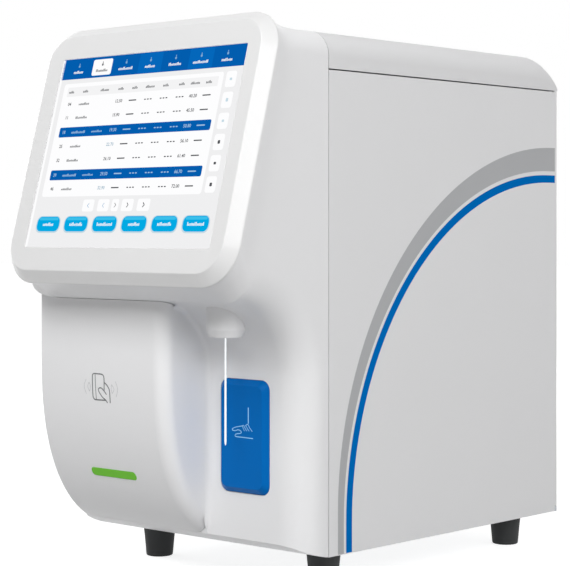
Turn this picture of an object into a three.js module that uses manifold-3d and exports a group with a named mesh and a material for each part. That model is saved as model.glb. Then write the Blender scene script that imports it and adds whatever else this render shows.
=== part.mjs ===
// Benchtop hematology analyzer: tilted touch screen over an open sampling bay, a needle that lifts on a
// belt drive, an aspirate key, and a side door over the fluidics.
// Millimetres, +Z up, the user at -Y. The origin is on the table, under the middle of the whole object.
import * as THREE from 'three';
import { mergeVertices } from 'three/addons/utils/BufferGeometryUtils.js';
import Module from 'manifold-3d';

const wasm = await Module();
wasm.setup();

// Sizes. Heights count from the underside of the body, depths from the front seam of the side panels,
// and widths from the middle plane unless a comment says otherwise.
const screen = {
  width: 245.4, leftSide: 24.7, rightSide: 19.9, lowSide: 32.8, highSide: 33.7, corner: 2, recess: 0.3,
  flange: 4, flangeThickness: 1.6,
};
const body = {
  width: screen.leftSide + screen.width + screen.rightSide,
  depth: 370, height: 479, lid: 36, topEdge: 24,
};
const shell = { wall: 3, seam: 0.4, fit: 0.3, overrun: 5 };

// The front casing: a column below, a hood above, and a round fillet between them
const column = { reach: 36, landing: 6, leftCorner: 4 };
const hood = {
  underside: 233, fillet: 68, leftRun: 33, leftRise: 12,
  faceInset: 2.5, footInset: 1.5, topBlend: 13, faceCorner: 45, faceTopCorner: 32,
};
// The belly cover bulges forward at the left; its foot is a superellipse shared with the column
const belly = { reach: 95, heel: 15, rise: 170, fromRight: 118, edge: 14, leftEdge: 4, top: 262 };
const bellyPowerShare = 2.3;
const bellyHatch = { fromLeft: 45, fromWall: 47, low: 60, high: 140 };

// The bezel overhangs the body at both sides and rises past its top; its edge is a flat chamfer
const bezel = {
  tiltDegrees: 15.2, footReach: 131.1, footHeight: 246.5, rise: 12, overhang: 6.6, thickness: 12.5,
  edge: 10.2, edgeRound: 3, lowCorner: 39, topCorner: 37, skin: 3,
};
const panelModule = { margin: 5.5, thickness: 5.8 };
const faceWindow = { inset: 6 };
const displayBoard = {
  fromLeft: 36, width: 100, low: 44, fromTop: 86, thickness: 1.6, standoff: 2.5, standoffRadius: 2.5,
  edge: 6,
};

const key = {
  fromRight: 70.4, centreHeight: 108, width: 60.7, height: 104, corner: 9, bevel: 5, proud: 5,
  travel: 2.5, play: 0.5, depth: 5, skin: 2, lip: 2.5, flange: 1.5, postRadius: 3,
};
const keyBoard = {
  width: 86, height: 26, thickness: 1.6, back: 20, bossRadius: 3.2, bossSpread: 38,
  switchWidth: 12, switchDepth: 4, plungerRadius: 2.4,
};

const light = { fromWall: 84, height: 66, width: 62, bar: 8, depth: 4, lip: 1.6, lipDepth: 1 };

const probe = { fromRight: 70.4, reach: 61.6, tip: 102, top: 305, radius: 1.1, tipCone: 3 };
const shroud = { radius: 17.8, belowHood: 33, chamfer: 3.5, skin: 2.6, mouth: 3.2 };
const washBlock = { radius: 10, height: 17, bore: 1.9, portRadius: 1.6, portLength: 3 };

const bracket = { fromRight: 17, width: 68, low: 258, fromTop: 43, front: 2, thickness: 2, foot: 16 };
const rail = { fromRight: 61, width: 9, depth: 6, low: 268, fromTop: 55 };
const carriage = {
  width: 22, height: 30, depth: 11, low: 285, armWidth: 9, armHeight: 9, clamp: 5.5, tabLow: 8,
  tabHeight: 12,
};
const pulley = {
  radius: 7, flange: 8.6, flangeWidth: 1, width: 9, fromRight: 33, low: 282, fromTop: 65, shaft: 2.5, pin: 2,
};
const belt = { thickness: 1.2, width: 6 };
const liftMotor = { square: 35, length: 26, corner: 4, pilot: 9, pilotDepth: 1.4 };

const foot = { height: 32, topRadius: 16.5, lowRadius: 13.5, chamfer: 1.5, inset: 35, front: 33,
  fromRear: 46 };
const base = { thickness: 2, flange: 10 };
const divider = { fromLeft: 111, thickness: 1.6, front: 22, fromRear: 8, foot: 14, fromTop: 43 };
const post = { fromRight: 23, depth: 14, thickness: 1.6, belowBracket: 8 };
const magnet = { depth: 9, height: 24, middle: 225 };
const hinge = { barrel: 2.5, pin: 1.3, bore: 1.55, notch: 6, pinReach: 9, sink: 4 };
const panel = { rib: 7, ribWidth: 2.4, ribInset: 9 };
const rearPanel = { thickness: 3, doorGap: 0.5 };

const fan = {
  size: 80, depth: 25, fromLeft: 55, height: 150, bore: 37.5, hub: 17, bladeTip: 35.5, bladeThickness: 1.6,
  bladeDepth: 15, bladePitchDegrees: 38, corner: 6, spindle: 4, strut: 5, strutDepth: 3, backRadius: 16,
  blades: 7,
};
const guard = { wire: 1.6, hub: 6, tab: 6, clearance: 1 };
const guardRingShares = [0.36, 0.68, 1];
const vents = { fromRight: 105, width: 70, slot: 4, pitch: 10, low: 250 };

const inlet = {
  fromLeft: 39, height: 60, width: 30, tall: 24, depth: 22, flangeWidth: 50, flangeTall: 30, flange: 2.4,
  socketWidth: 24.5, socketTall: 16.5, socketDepth: 17, pinWidth: 2, pinTall: 4.6, pinSpread: 7,
};
const rocker = { fromLeft: 78, frameWidth: 22, frameTall: 30, cupWidth: 15, cupTall: 21, depth: 16,
  play: 0.5,
  skin: 2, swingDegrees: 8, pivotDepth: 7, belly: 4, flange: 2 };
const sockets = {
  fromLeft: 57, height: 262, depth: 17, netWidth: 12, netTall: 8.4, usbWidth: 13.2, usbTall: 5.8,
  skin: 2.2, proud: 1, hollow: 13,
};
const ports = {
  firstFromRight: 111, pitch: 26, count: 4, height: 64, flange: 8, flangeDepth: 2.5, nipple: 3, barb: 3.9,
  reach: 10, nut: 7, nutDepth: 5, tail: 12, neck: 4.4,
};

const mainBoard = { front: 52, fromRear: 62, low: 120, fromTop: 91, thickness: 1.6, standoff: 5,
  standoffRadius: 3, edge: 9, sinkWidth: 60, sinkTall: 50, sinkDepth: 14, chip: 26, chipDepth: 3 };
const supply = { fromLeft: 11, fromDivider: 18, length: 160, fromRear: 34, height: 56, foot: 6, footDepth: 5,
  chamfer: 3 };

const baths = { first: 70, pitch: 44, fromDivider: 26, low: 236, radius: 14, tall: 46, skin: 2, cone: 9,
  outlet: 3,
  outletTall: 10 };
const bathShelf = { thickness: 2.4, margin: 8, hole: 5.2, lip: 14 };
const syringe = {
  depth: 197, fromDivider: 26, barrelLow: 232, barrelTall: 84, barrel: 8.5, bore: 6.8, piston: 6.5,
  pistonTall: 8,
  rod: 2.4, stroke: 45, nose: 4, noseTall: 8,
};
const syringeFrame = { thickness: 2, width: 44, low: 118, reach: 26, shelf: 2.4 };
const syringeMotor = { square: 35, tall: 28, corner: 4, bore: 3 };
const syringeScrew = { coupler: 5, couplerTall: 7, tail: 24 };
const valves = {
  front: 236, pitch: 24, count: 3, height: 318, block: 14, blockDepth: 14, radius: 7.5, length: 26, cap: 5,
  capLength: 4, margin: 12,
};
const waste = {
  depth: 92, height: 58, fromRight: 109, rollers: 3, head: 27, headDepth: 22, cavity: 22, cavityDepth: 17,
  motorRadius: 15,
  motorLength: 34, hub: 6, rollerRadius: 4.6, rollerOrbit: 15, plate: 18.5, plateDepth: 2, cradle: 20,
  rollerDepth: 10, shaft: 3,
};

// Facets
const facets = {
  corner: 7, inner: 4, edge: 2, fillet: 8, blend: 4, foot: 7, belly: 9, round: 20, small: 12, arc: 5,
};
const weld = 1e-5;

// Materials
const finish = (color, roughness, metalness = 0) =>
  new THREE.MeshStandardMaterial({ color, roughness, metalness });
const casingWhite = finish(0xe6e6e6, 0.42);
const bezelWhite = finish(0xf2f2f2, 0.3);
const panelGrey = finish(0xcfcfd0, 0.45);
const keyBlue = finish(0x0667b4, 0.35);
const glassBlack = finish(0x0e1418, 0.08);
const lightGreen = finish(0x71be3e, 0.3);
const rubberBlack = finish(0x1e2323, 0.8);
const plasticBlack = finish(0x1b1c1e, 0.5);
const steel = finish(0xb9bcc0, 0.3, 1);
const zinc = finish(0xaeb2b5, 0.45, 0.9);
const boardGreen = finish(0x1f6a45, 0.5);
const clearCup = finish(0xdfe9ee, 0.1);
const barbWhite = finish(0xe9e7df, 0.4);
const brass = finish(0xc09a4b, 0.35, 1);

// Solids

function solidOf(geometry) {
  const bare = geometry.clone();
  bare.deleteAttribute('normal');
  bare.deleteAttribute('uv');
  const merged = mergeVertices(bare, weld);
  return new wasm.Manifold(new wasm.Mesh({
    numProp: 3,
    vertProperties: merged.attributes.position.array,
    triVerts: new Uint32Array(merged.index.array),
  }));
}

function geometryOf(manifold) {
  const { vertProperties, triVerts } = manifold.getMesh();
  const geometry = new THREE.BufferGeometry();
  geometry.setAttribute('position', new THREE.BufferAttribute(vertProperties, 3));
  geometry.setIndex(new THREE.BufferAttribute(triVerts, 1));
  return geometry;
}

const join = (...pieces) => geometryOf(pieces.map(solidOf).reduce((all, piece) => all.add(piece)));
const cut = (first, ...tools) =>
  geometryOf(tools.map(solidOf).reduce((rest, tool) => rest.subtract(tool), solidOf(first)));

// A block between two opposite corners; its faces lie on their very numbers, so that flush faces match
function block(low, high) {
  const geometry = new THREE.BoxGeometry();
  const places = geometry.getAttribute('position');
  places.array.forEach((side, index) => {
    const axis = index % places.itemSize;
    places.array[index] = side > 0 ? high[axis] : low[axis];
  });
  return geometry;
}

// Lays a shape that was made along Y onto another axis
function along(axis, geometry) {
  if (axis === 'x') geometry.rotateZ(-Math.PI / 2);
  if (axis === 'z') geometry.rotateX(Math.PI / 2);
  return geometry;
}

// A round bar along an axis, between two places on it, through a point of the other two coordinates
function rod(axis, radius, from, to, [first, second], sides = facets.small) {
  const geometry = along(axis, new THREE.CylinderGeometry(radius, radius, to - from, sides));
  const middle = (from + to) / 2;
  if (axis === 'x') return geometry.translate(middle, first, second);
  if (axis === 'y') return geometry.translate(first, middle, second);
  return geometry.translate(first, second, middle);
}

// A turned piece: radii against places along the axis, from one end to the other
function turned(axis, steps, [first, second], sides = facets.small) {
  const outline = [[0, steps[0][1]], ...steps, [0, steps.at(-1)[1]]];
  const geometry = new THREE.LatheGeometry(outline.map(([r, p]) => new THREE.Vector2(r, p)), sides);
  if (axis === 'x') return geometry.rotateZ(-Math.PI / 2).translate(0, first, second);
  if (axis === 'y') return geometry.translate(first, 0, second);
  return geometry.rotateX(Math.PI / 2).translate(first, second, 0);
}

// A rounded rectangle about the origin
function roundedOutline(width, height, corner, topCorner = corner) {
  const shape = new THREE.Shape();
  const right = width / 2;
  const top = height / 2;
  shape.absarc(right - corner, corner - top, corner, -Math.PI / 2, 0);
  shape.absarc(right - topCorner, top - topCorner, topCorner, 0, Math.PI / 2);
  shape.absarc(topCorner - right, top - topCorner, topCorner, Math.PI / 2, Math.PI);
  shape.absarc(corner - right, corner - top, corner, Math.PI, 3 * Math.PI / 2);
  return shape;
}

// A flat plate in the XZ plane, from its back face to its front face, centred on (x, z)
function frontPlate(shape, back, front, [x, z]) {
  const options = { depth: back - front, bevelEnabled: false, curveSegments: facets.arc };
  const geometry = new THREE.ExtrudeGeometry(shape, options);
  return geometry.rotateX(Math.PI / 2).translate(x, back, z);
}

// A closed skin through rings of points with rising x, each ring turning from Y to Z
function loft(rings) {
  const count = rings[0].length;
  const index = [];
  const cap = THREE.ShapeUtils.triangulateShape(rings[0].map(([, y, z]) => new THREE.Vector2(y, z)), []);
  const last = (rings.length - 1) * count;
  const endCap = THREE.ShapeUtils.triangulateShape(rings.at(-1).map(([, y, z]) => new THREE.Vector2(y, z)),
    []);
  for (const [a, b, c] of cap) index.push(a, c, b);
  for (const [a, b, c] of endCap) index.push(last + a, last + b, last + c);
  for (let ring = 0; ring < rings.length - 1; ring++) {
    for (let point = 0; point < count; point++) {
      const a = ring * count + point;
      const b = ring * count + (point + 1) % count;
      index.push(a, b, a + count, b, b + count, a + count);
    }
  }
  const geometry = new THREE.BufferGeometry();
  geometry.setAttribute('position', new THREE.Float32BufferAttribute(rings.flat(2), 3));
  geometry.setIndex(index);
  return geometry;
}

// A solid through outlines in the XZ plane, from the back to the front: pairs of depth and outline
function frontLoft(layers, divisions) {
  const rings = layers.map(([depth, shape]) =>
    shape.getPoints(divisions).map((point) => [-depth, point.x, point.y]));
  return loft(rings).rotateZ(-Math.PI / 2);
}

// How far a rounded edge has dropped at a distance from the side it runs into
function edgeDrop(distance, run, rise = run) {
  if (distance >= run) return 0;
  return rise * (1 - Math.sqrt(1 - ((run - distance) / run) ** 2));
}

// Distances from a side at which an edge of a given run is sampled
function edgeSteps(run, count) {
  return Array.from({ length: count + 1 }, (_, step) => run * (1 - Math.cos(step * Math.PI / 2 / count)));
}

// Outer shapes

const halfWidth = body.width / 2;
const columnCorner = column.reach - column.landing;
const lidSeam = body.height - body.lid;
const fromLeft = (distance) => distance - halfWidth;
const fromRight = (distance) => halfWidth - distance;
const screenX = (screen.leftSide - screen.rightSide) / 2;
const bellyWallX = fromRight(belly.fromRight);
const keyX = fromRight(key.fromRight);
const probeX = fromRight(probe.fromRight);
const lightX = bellyWallX - light.fromWall;
const railX = fromRight(rail.fromRight);
const pulleyX = fromRight(pulley.fromRight);
const bracketRight = fromRight(bracket.fromRight);
const bracketLeft = bracketRight - bracket.width;
const displayBoardLeft = fromLeft(displayBoard.fromLeft);
const displayBoardRight = displayBoardLeft + displayBoard.width;
const shroudLow = hood.underside - shroud.belowHood;
const dividerX = fromLeft(divider.fromLeft);
const dividerRear = body.depth - divider.fromRear;
const postLeft = fromRight(post.fromRight);
const postTop = bracket.low - post.belowBracket;
const fanX = fromLeft(fan.fromLeft);
const ventsX = fromRight(vents.fromRight);
const inletX = fromLeft(inlet.fromLeft);
const rockerX = fromLeft(rocker.fromLeft);
const socketsX = fromLeft(sockets.fromLeft);
const supplyLeft = fromLeft(supply.fromLeft);
const supplyRight = dividerX - supply.fromDivider;
const supplyRear = body.depth - supply.fromRear;
const mainBoardRear = body.depth - mainBoard.fromRear;
const bathX = dividerX + baths.fromDivider;
const syringeX = dividerX + syringe.fromDivider;
const wasteBack = fromRight(waste.fromRight);
const bracketHigh = body.height - bracket.fromTop;
const railHigh = body.height - rail.fromTop;
const pulleyHigh = body.height - pulley.fromTop;
const dividerTop = body.height - divider.fromTop;
const mainBoardHigh = body.height - mainBoard.fromTop;
const tilt = THREE.MathUtils.degToRad(bezel.tiltDegrees);
const bezelWidth = body.width + 2 * bezel.overhang;
const bezelSlope = (body.height + bezel.rise - bezel.footHeight) / Math.cos(tilt);
const screenHeight = bezelSlope - screen.lowSide - screen.highSide;
const screenMiddle = screen.lowSide + screenHeight / 2;
const displayBoardHigh = bezelSlope - displayBoard.fromTop;
const facePoint = (up, out) => [
  -bezel.footReach + up * Math.sin(tilt) + out * Math.cos(tilt),
  bezel.footHeight + up * Math.cos(tilt) - out * Math.sin(tilt),
];

// Height of the shared superellipse at a depth in front of the seam
function footCurve(y, inset = 0) {
  const along = Math.min((belly.heel - y) / (belly.reach + belly.heel - inset), 1);
  const share = (1 - along ** bellyPowerShare) ** (1 / bellyPowerShare);
  return belly.rise - (belly.rise - inset) * share;
}

// The hood's top: level at the seam, then square to the screen, with a soft bend between
function hoodTop(level, face) {
  const slope = Math.tan(tilt);
  const bend = face[0] + (face[1] - level) / slope;
  const blend = Math.min(hood.topBlend, (bend - face[0]) / 2, -bend);
  return Array.from({ length: facets.blend + 1 }, (_, step) => {
    const share = step / facets.blend;
    return [bend + blend * (1 - 2 * share), level + slope * blend * share * share];
  });
}

// One section of the front casing at a distance from a side panel's plane
function casingRing(x, distance, isLeft, inset, back) {
  const within = distance - inset;
  const drop = (run, rise = run) => inset + edgeDrop(within, run - inset, rise - inset);
  const plane = isLeft ? drop(column.leftCorner, column.leftCorner) : drop(columnCorner);
  const under = isLeft ? drop(hood.leftRun, hood.leftRise) : drop(columnCorner);
  const faceFoot = drop(hood.faceCorner);
  const faceTop = drop(hood.faceTopCorner);
  const top = drop(body.topEdge);
  const out = shell.fit + inset;
  const front = plane - column.reach;
  const filletY = -column.reach - hood.fillet;
  const filletZ = hood.underside - hood.fillet;
  const upper = facePoint(bezelSlope - hood.faceInset - faceTop, out);
  const ring = [[back, footCurve(0) + inset], [back, body.height - top]];
  ring.push(...hoodTop(body.height - top, upper), upper, facePoint(hood.footInset + faceFoot, out));
  for (let step = facets.fillet; step >= 0; step--) {
    const angle = step / facets.fillet * Math.PI / 2;
    const radius = hood.fillet + plane + (under - plane) * step / facets.fillet;
    ring.push([filletY + radius * Math.cos(angle), filletZ + radius * Math.sin(angle)]);
  }
  for (let step = facets.foot; step > 0; step--) {
    const y = front * step / facets.foot;
    ring.push([y, footCurve(y) + inset]);
  }
  return ring.map(([y, z]) => [x, y, z]);
}

// The casing's outer or inner skin; a negative inset gives the space it needs from a neighbour
function casingSkin(inset, back, count) {
  const steps = edgeSteps(hood.faceCorner - inset, count).map((step) => step + inset);
  const left = steps.map((step) => casingRing(step - halfWidth, step, true, inset, back));
  const right = steps.map((step) => casingRing(halfWidth - step, step, false, inset, back)).reverse();
  return loft([...left, ...right]);
}

function bellySkin(inset) {
  const low = -column.reach + shell.wall + shell.fit;
  const ringAt = (x, drop) => {
    const wide = belly.reach + belly.heel - drop;
    const tall = belly.rise - drop;
    const end = Math.acos(((belly.heel - low) / wide) ** (bellyPowerShare / 2));
    const ring = [[low, belly.top], [belly.heel - wide, belly.top]];
    for (let step = 0; step <= facets.belly; step++) {
      const angle = end * step / facets.belly;
      const reach = wide * Math.cos(angle) ** (2 / bellyPowerShare);
      ring.push([belly.heel - reach, belly.rise - tall * Math.sin(angle) ** (2 / bellyPowerShare)]);
    }
    return ring.map(([y, z]) => [x, y, z]);
  };
  const left = edgeSteps(belly.leftEdge, facets.inner - 1).map((step) =>
    ringAt(step + inset - halfWidth, inset + edgeDrop(step, belly.leftEdge)));
  const right = edgeSteps(belly.edge - inset, facets.inner).map((step) =>
    ringAt(bellyWallX - inset - step, inset + edgeDrop(step, belly.edge - inset))).reverse();
  return loft([...left, ...right]);
}

function frontCasing() {
  const outer = casingSkin(0, 0, facets.corner);
  const inner = casingSkin(shell.wall, shell.overrun, facets.inner);
  const window = frontPlate(
    roundedOutline(screen.width - faceWindow.inset, screenHeight - faceWindow.inset, screen.corner),
    shell.wall + shell.overrun, -shell.overrun, [screenX, screenMiddle],
  );
  window.rotateX(-tilt).translate(0, -bezel.footReach, bezel.footHeight);
  const keyHole = frontPlate(
    roundedOutline(key.width + 2 * key.play, key.height + 2 * key.play, key.corner + key.play),
    shell.overrun - column.reach, -column.reach - shell.overrun, [keyX, key.centreHeight],
  );
  const noseHole = rod('z', shroud.radius - shroud.skin - shell.fit, shroudLow - shell.overrun,
    hood.underside + 2 * shell.overrun, [probeX, -probe.reach], facets.round);
  const hatch = block([fromLeft(bellyHatch.fromLeft), -column.reach - shell.overrun, bellyHatch.low],
    [bellyWallX - bellyHatch.fromWall, shell.overrun - column.reach, bellyHatch.high]);
  const bosses = [-keyBoard.bossSpread, keyBoard.bossSpread].map((side) => rod('y', keyBoard.bossRadius,
    -column.reach + shell.wall / 2, -keyBoard.back - keyBoard.thickness - shell.fit,
    [keyX + side, key.centreHeight]));
  return join(cut(outer, inner, window, keyHole, noseHole, hatch), ...bosses);
}

function bellyCover() {
  const slot = frontPlate(
    roundedOutline(light.width + 2 * shell.fit, light.bar + 2 * shell.fit, light.bar / 2 + shell.fit / 2),
    light.depth + shell.overrun, -shell.overrun, [0, 0],
  );
  onBelly(slot, lightX, light.height);
  return cut(bellySkin(0), bellySkin(shell.wall), casingSkin(-shell.seam, shell.overrun, facets.corner),
    slot);
}

// Places a piece made about the origin on the belly's surface, leaning with it
function onBelly(geometry, middle, height) {
  const below = 1 - height / belly.rise;
  const bulge = (belly.reach + belly.heel) * (1 - below ** bellyPowerShare) ** (1 / bellyPowerShare);
  const slope = (bulge / (belly.reach + belly.heel)) ** (1 - bellyPowerShare) *
    below ** (bellyPowerShare - 1) * (belly.reach + belly.heel) / belly.rise;
  return geometry.rotateX(Math.atan(slope)).translate(middle, belly.heel - bulge, height);
}

// Top cover: rounded at both sides, and down to the rear
function lidRing(x, distance, inset) {
  const drop = inset + edgeDrop(distance - inset, body.topEdge - inset);
  const rise = body.height - lidSeam;
  const front = inset ? -shell.overrun : shell.seam;
  const low = inset ? lidSeam - shell.overrun : lidSeam;
  const ring = [[front, low], [body.depth - inset, low]];
  for (let step = 0; step <= facets.arc; step++) {
    const angle = step / facets.arc * Math.PI / 2;
    ring.push([
      body.depth - rise + (rise - inset) * Math.cos(angle),
      lidSeam + (rise - drop) * Math.sin(angle),
    ]);
  }
  ring.push([front, body.height - drop]);
  return ring.map(([y, z]) => [x, y, z]);
}

function lidSkin(inset) {
  const steps = edgeSteps(body.topEdge - inset, facets.corner).map((step) => step + inset);
  const left = steps.map((step) => lidRing(step - halfWidth, step, inset));
  const right = steps.map((step) => lidRing(halfWidth - step, step, inset)).reverse();
  return loft([...left, ...right]);
}

const hingeX = halfWidth - hinge.barrel;
const hingeY = body.depth - hinge.barrel;
const doorLow = shell.seam;
const doorHigh = lidSeam - shell.seam;

// The ear that holds a hinge pin, with an arm over part of its height
function hingeEar([low, high], [armLow, armHigh]) {
  const arm = block([hingeX - 3 * hinge.barrel, hingeY - hinge.barrel, armLow],
    [hingeX, hingeY + hinge.barrel, armHigh]);
  return join(rod('z', hinge.barrel, low, high, [hingeX, hingeY], facets.round), arm);
}

function topCover() {
  const high = lidSeam + hinge.sink;
  const ear = hingeEar([lidSeam + shell.seam - hinge.notch, high], [lidSeam, high]);
  const bore = rod('z', hinge.bore, lidSeam - 2 * hinge.notch, lidSeam + hinge.sink / 2,
    [hingeX, hingeY], facets.round);
  return cut(join(cut(lidSkin(0), lidSkin(shell.wall)), ear), bore);
}

// Ribs round the inside of a flat side panel, set in from its edges
function ribFrame(inner, outer, front, rear, low, high) {
  const frame = block([inner, front, low], [outer, rear, high]);
  const hollow = block([inner - shell.overrun, front + panel.ribWidth, low + panel.ribWidth],
    [outer + shell.overrun, rear - panel.ribWidth, high - panel.ribWidth]);
  return cut(frame, hollow);
}

function leftPanel() {
  return block([-halfWidth, shell.seam, 0], [shell.wall - halfWidth, body.depth, doorHigh]);
}

function serviceDoor() {
  const sheet = block([halfWidth - shell.wall, shell.seam, doorLow], [halfWidth, hingeY, doorHigh]);
  const barrel = rod('z', hinge.barrel, doorLow, doorHigh, [hingeX, hingeY], facets.round);
  const frame = ribFrame(halfWidth - panel.rib, halfWidth - shell.wall / 2, shell.seam + panel.ribInset,
    body.depth - 3 * panel.ribInset, base.flange + panel.ribInset, doorHigh - panel.ribInset);
  const notch = (low, high) => block([hingeX - 2 * hinge.barrel, hingeY - hinge.barrel - shell.seam, low],
    [halfWidth + shell.overrun, body.depth + shell.overrun, high]);
  const bore = rod('z', hinge.bore, -shell.overrun, hinge.notch + hinge.pinReach + shell.fit,
    [hingeX, hingeY], facets.round);
  const topBore = rod('z', hinge.bore, lidSeam - hinge.notch - hinge.pinReach - shell.fit,
    lidSeam + shell.overrun, [hingeX, hingeY], facets.round);
  return cut(join(sheet, barrel, frame), notch(-shell.overrun, hinge.notch),
    notch(lidSeam - hinge.notch, lidSeam), bore, topBore);
}

function hingePin(low, high) {
  return rod('z', hinge.pin, low, high, [hingeX, hingeY]);
}

const panelRight = halfWidth - 2 * hinge.barrel - rearPanel.doorGap;
const panelLeft = halfWidth - shell.wall - shell.seam;
const panelInside = body.depth - rearPanel.thickness;

function rearCover() {
  const sheet = block([-panelLeft, panelInside, base.thickness + shell.seam],
    [panelRight, body.depth, doorHigh]);
  const through = (shape, place) =>
    frontPlate(shape, body.depth + shell.overrun, panelInside - shell.overrun, place);
  const tools = [
    rod('y', fan.bore, panelInside - shell.overrun, body.depth + shell.overrun, [fanX, fan.height],
      facets.round),
    through(roundedOutline(inlet.width + 2 * shell.fit, inlet.tall + 2 * shell.fit, shell.fit),
      [inletX, inlet.height]),
    through(roundedOutline(rocker.cupWidth + 2 * rocker.skin + 2 * shell.fit,
      rocker.cupTall + 2 * rocker.skin + 2 * shell.fit, shell.fit), [rockerX, inlet.height]),
    through(roundedOutline(socketBlock.width + 2 * shell.fit, socketBlock.tall + 2 * shell.fit, shell.fit),
      [socketsX, sockets.height]),
  ];
  for (const middle of portMiddles) {
    tools.push(rod('y', ports.neck + shell.fit, panelInside - shell.overrun, body.depth + shell.overrun,
      [middle, ports.height]));
  }
  const rows = Math.floor((lidSeam - vents.low) / vents.pitch / 2);
  for (let row = 0; row < rows; row++) {
    const low = vents.low + row * vents.pitch;
    tools.push(block([ventsX - vents.width / 2, panelInside - shell.overrun, low],
      [ventsX + vents.width / 2, body.depth + shell.overrun, low + vents.slot]));
  }
  return cut(sheet, ...tools);
}

function basePlate() {
  const wide = halfWidth - shell.wall - shell.fit;
  const rear = panelInside - shell.fit;
  const pan = block([-wide, shell.seam, 0], [wide, rear, base.flange]);
  const hollow = block([base.thickness - wide, shell.seam + base.thickness, base.thickness],
    [wide - base.thickness, rear - base.thickness, base.flange + shell.overrun]);
  const ear = hingeEar([0, hinge.notch - shell.seam], [0, base.thickness]);
  const corner = block([hingeX - hinge.barrel - shell.seam, hingeY - hinge.barrel - shell.seam,
    base.thickness],
    [halfWidth + shell.overrun, body.depth, base.flange + shell.overrun]);
  const link = block([wide - 2 * hinge.notch, rear - hinge.notch, 0],
    [hingeX - hinge.barrel, hingeY + hinge.barrel, base.thickness]);
  const bore = rod('z', hinge.bore, hinge.sink / 2, lidSeam, [hingeX, hingeY], facets.round);
  return cut(join(cut(pan, hollow, corner), ear, link), bore);
}

function rubberFoot() {
  return turned('z', [
    [foot.lowRadius - foot.chamfer, -foot.height],
    [foot.lowRadius, foot.chamfer - foot.height],
    [foot.topRadius, 0],
  ], [0, 0], facets.round);
}

// Display

function displayBezel() {
  const layers = [[0, 0]];
  const roundFrom = bezel.edge - bezel.thickness + bezel.edgeRound * Math.tan(Math.PI / 8);
  for (let step = 0; step <= facets.edge; step++) {
    const angle = step / facets.edge * Math.PI / 4;
    layers.push([roundFrom - bezel.edgeRound * Math.sin(angle), bezel.edgeRound * (1 - Math.cos(angle))]);
  }
  layers.push([-bezel.thickness, bezel.edge]);
  const outline = (inset) => roundedOutline(bezelWidth - 2 * inset, bezelSlope - 2 * inset,
    bezel.lowCorner - inset, bezel.topCorner - inset);
  const face = frontLoft(layers.map(([depth, inset]) => [depth, outline(inset)]), facets.corner);
  face.translate(0, 0, bezelSlope / 2);
  const at = [screenX, screenMiddle];
  const window = frontPlate(roundedOutline(screen.width + 2 * shell.fit, screenHeight + 2 * shell.fit,
    screen.corner), 0, -bezel.thickness - shell.overrun, at);
  const pocket = frontPlate(outline(bezel.edge), shell.overrun, bezel.skin - bezel.thickness,
    [0, bezelSlope / 2]);
  const bar = (low, high) => block([-body.width / 4, bezel.skin / 2 - bezel.thickness, low],
    [body.width / 4, 0, high]);
  const rim = bezel.edge - bezel.skin / 2;
  const lowBar = bar(rim, screen.lowSide - 2 * panelModule.margin);
  const highBar = bar(bezelSlope - screen.highSide + 2 * panelModule.margin, bezelSlope - rim);
  return join(cut(face, window, pocket), lowBar, highBar);
}

const glassBack = bezel.skin - bezel.thickness + shell.fit + screen.flangeThickness;

function touchScreen() {
  const at = [screenX, screenMiddle];
  const pane = frontPlate(roundedOutline(screen.width, screenHeight, screen.corner - shell.fit), glassBack,
    screen.recess - bezel.thickness, at);
  const flange = frontPlate(roundedOutline(screen.width + 2 * screen.flange,
    screenHeight + 2 * screen.flange,
    screen.corner), glassBack, glassBack - screen.flangeThickness, at);
  return join(pane, flange);
}

const moduleBack = glassBack + shell.fit + panelModule.thickness;

function lcdModule() {
  const outline = roundedOutline(screen.width + 2 * panelModule.margin,
    screenHeight + 2 * panelModule.margin,
    screen.corner);
  return frontPlate(outline, moduleBack, glassBack + shell.fit, [screenX, screenMiddle]);
}

function displayElectronics() {
  const front = shell.wall + 2 * shell.fit + displayBoard.standoff;
  const board = block([displayBoardLeft, front, displayBoard.low],
    [displayBoardRight, front + displayBoard.thickness, displayBoardHigh]);
  const chip = block([displayBoardRight - displayBoard.width / 2, front + displayBoard.thickness / 2,
    (displayBoard.low + displayBoardHigh) / 2],
    [displayBoardRight - 2 * displayBoard.edge, front + 2 * displayBoard.thickness,
      displayBoardHigh - 2 * displayBoard.edge]);
  const legs = [];
  for (const x of [displayBoardLeft + displayBoard.edge, displayBoardRight - displayBoard.edge]) {
    for (const height of [displayBoard.low + displayBoard.edge, displayBoardHigh - displayBoard.edge]) {
      legs.push(rod('y', displayBoard.standoffRadius, moduleBack + shell.fit,
        front + displayBoard.thickness / 2,
        [x, height]));
    }
  }
  return join(board, chip, ...legs);
}

// Aspirate key

function aspirateKey() {
  const face = -column.reach - key.proud;
  const inside = key.depth - column.reach;
  const at = [keyX, key.centreHeight];
  const outline = (inset) => roundedOutline(key.width - 2 * inset, key.height - 2 * inset,
    key.corner - inset / 2);
  const crown = frontLoft([[inside, outline(0)], [face + key.bevel, outline(0)], [face, outline(key.bevel)]],
    facets.arc);
  crown.translate(keyX, 0, key.centreHeight);
  const flangeFront = shell.wall + shell.fit - column.reach;
  const flange = frontPlate(roundedOutline(key.width + 2 * key.lip, key.height + 2 * key.lip, key.corner),
    flangeFront + key.flange, flangeFront, at);
  const hollow = frontPlate(roundedOutline(key.width - 2 * key.bevel, key.height - 2 * key.bevel, key.skin),
    inside + shell.overrun, face + key.skin, at);
  const post = rod('y', key.postRadius, face + key.skin / 2, inside, at);
  return join(cut(join(crown, flange), hollow), post);
}

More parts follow.
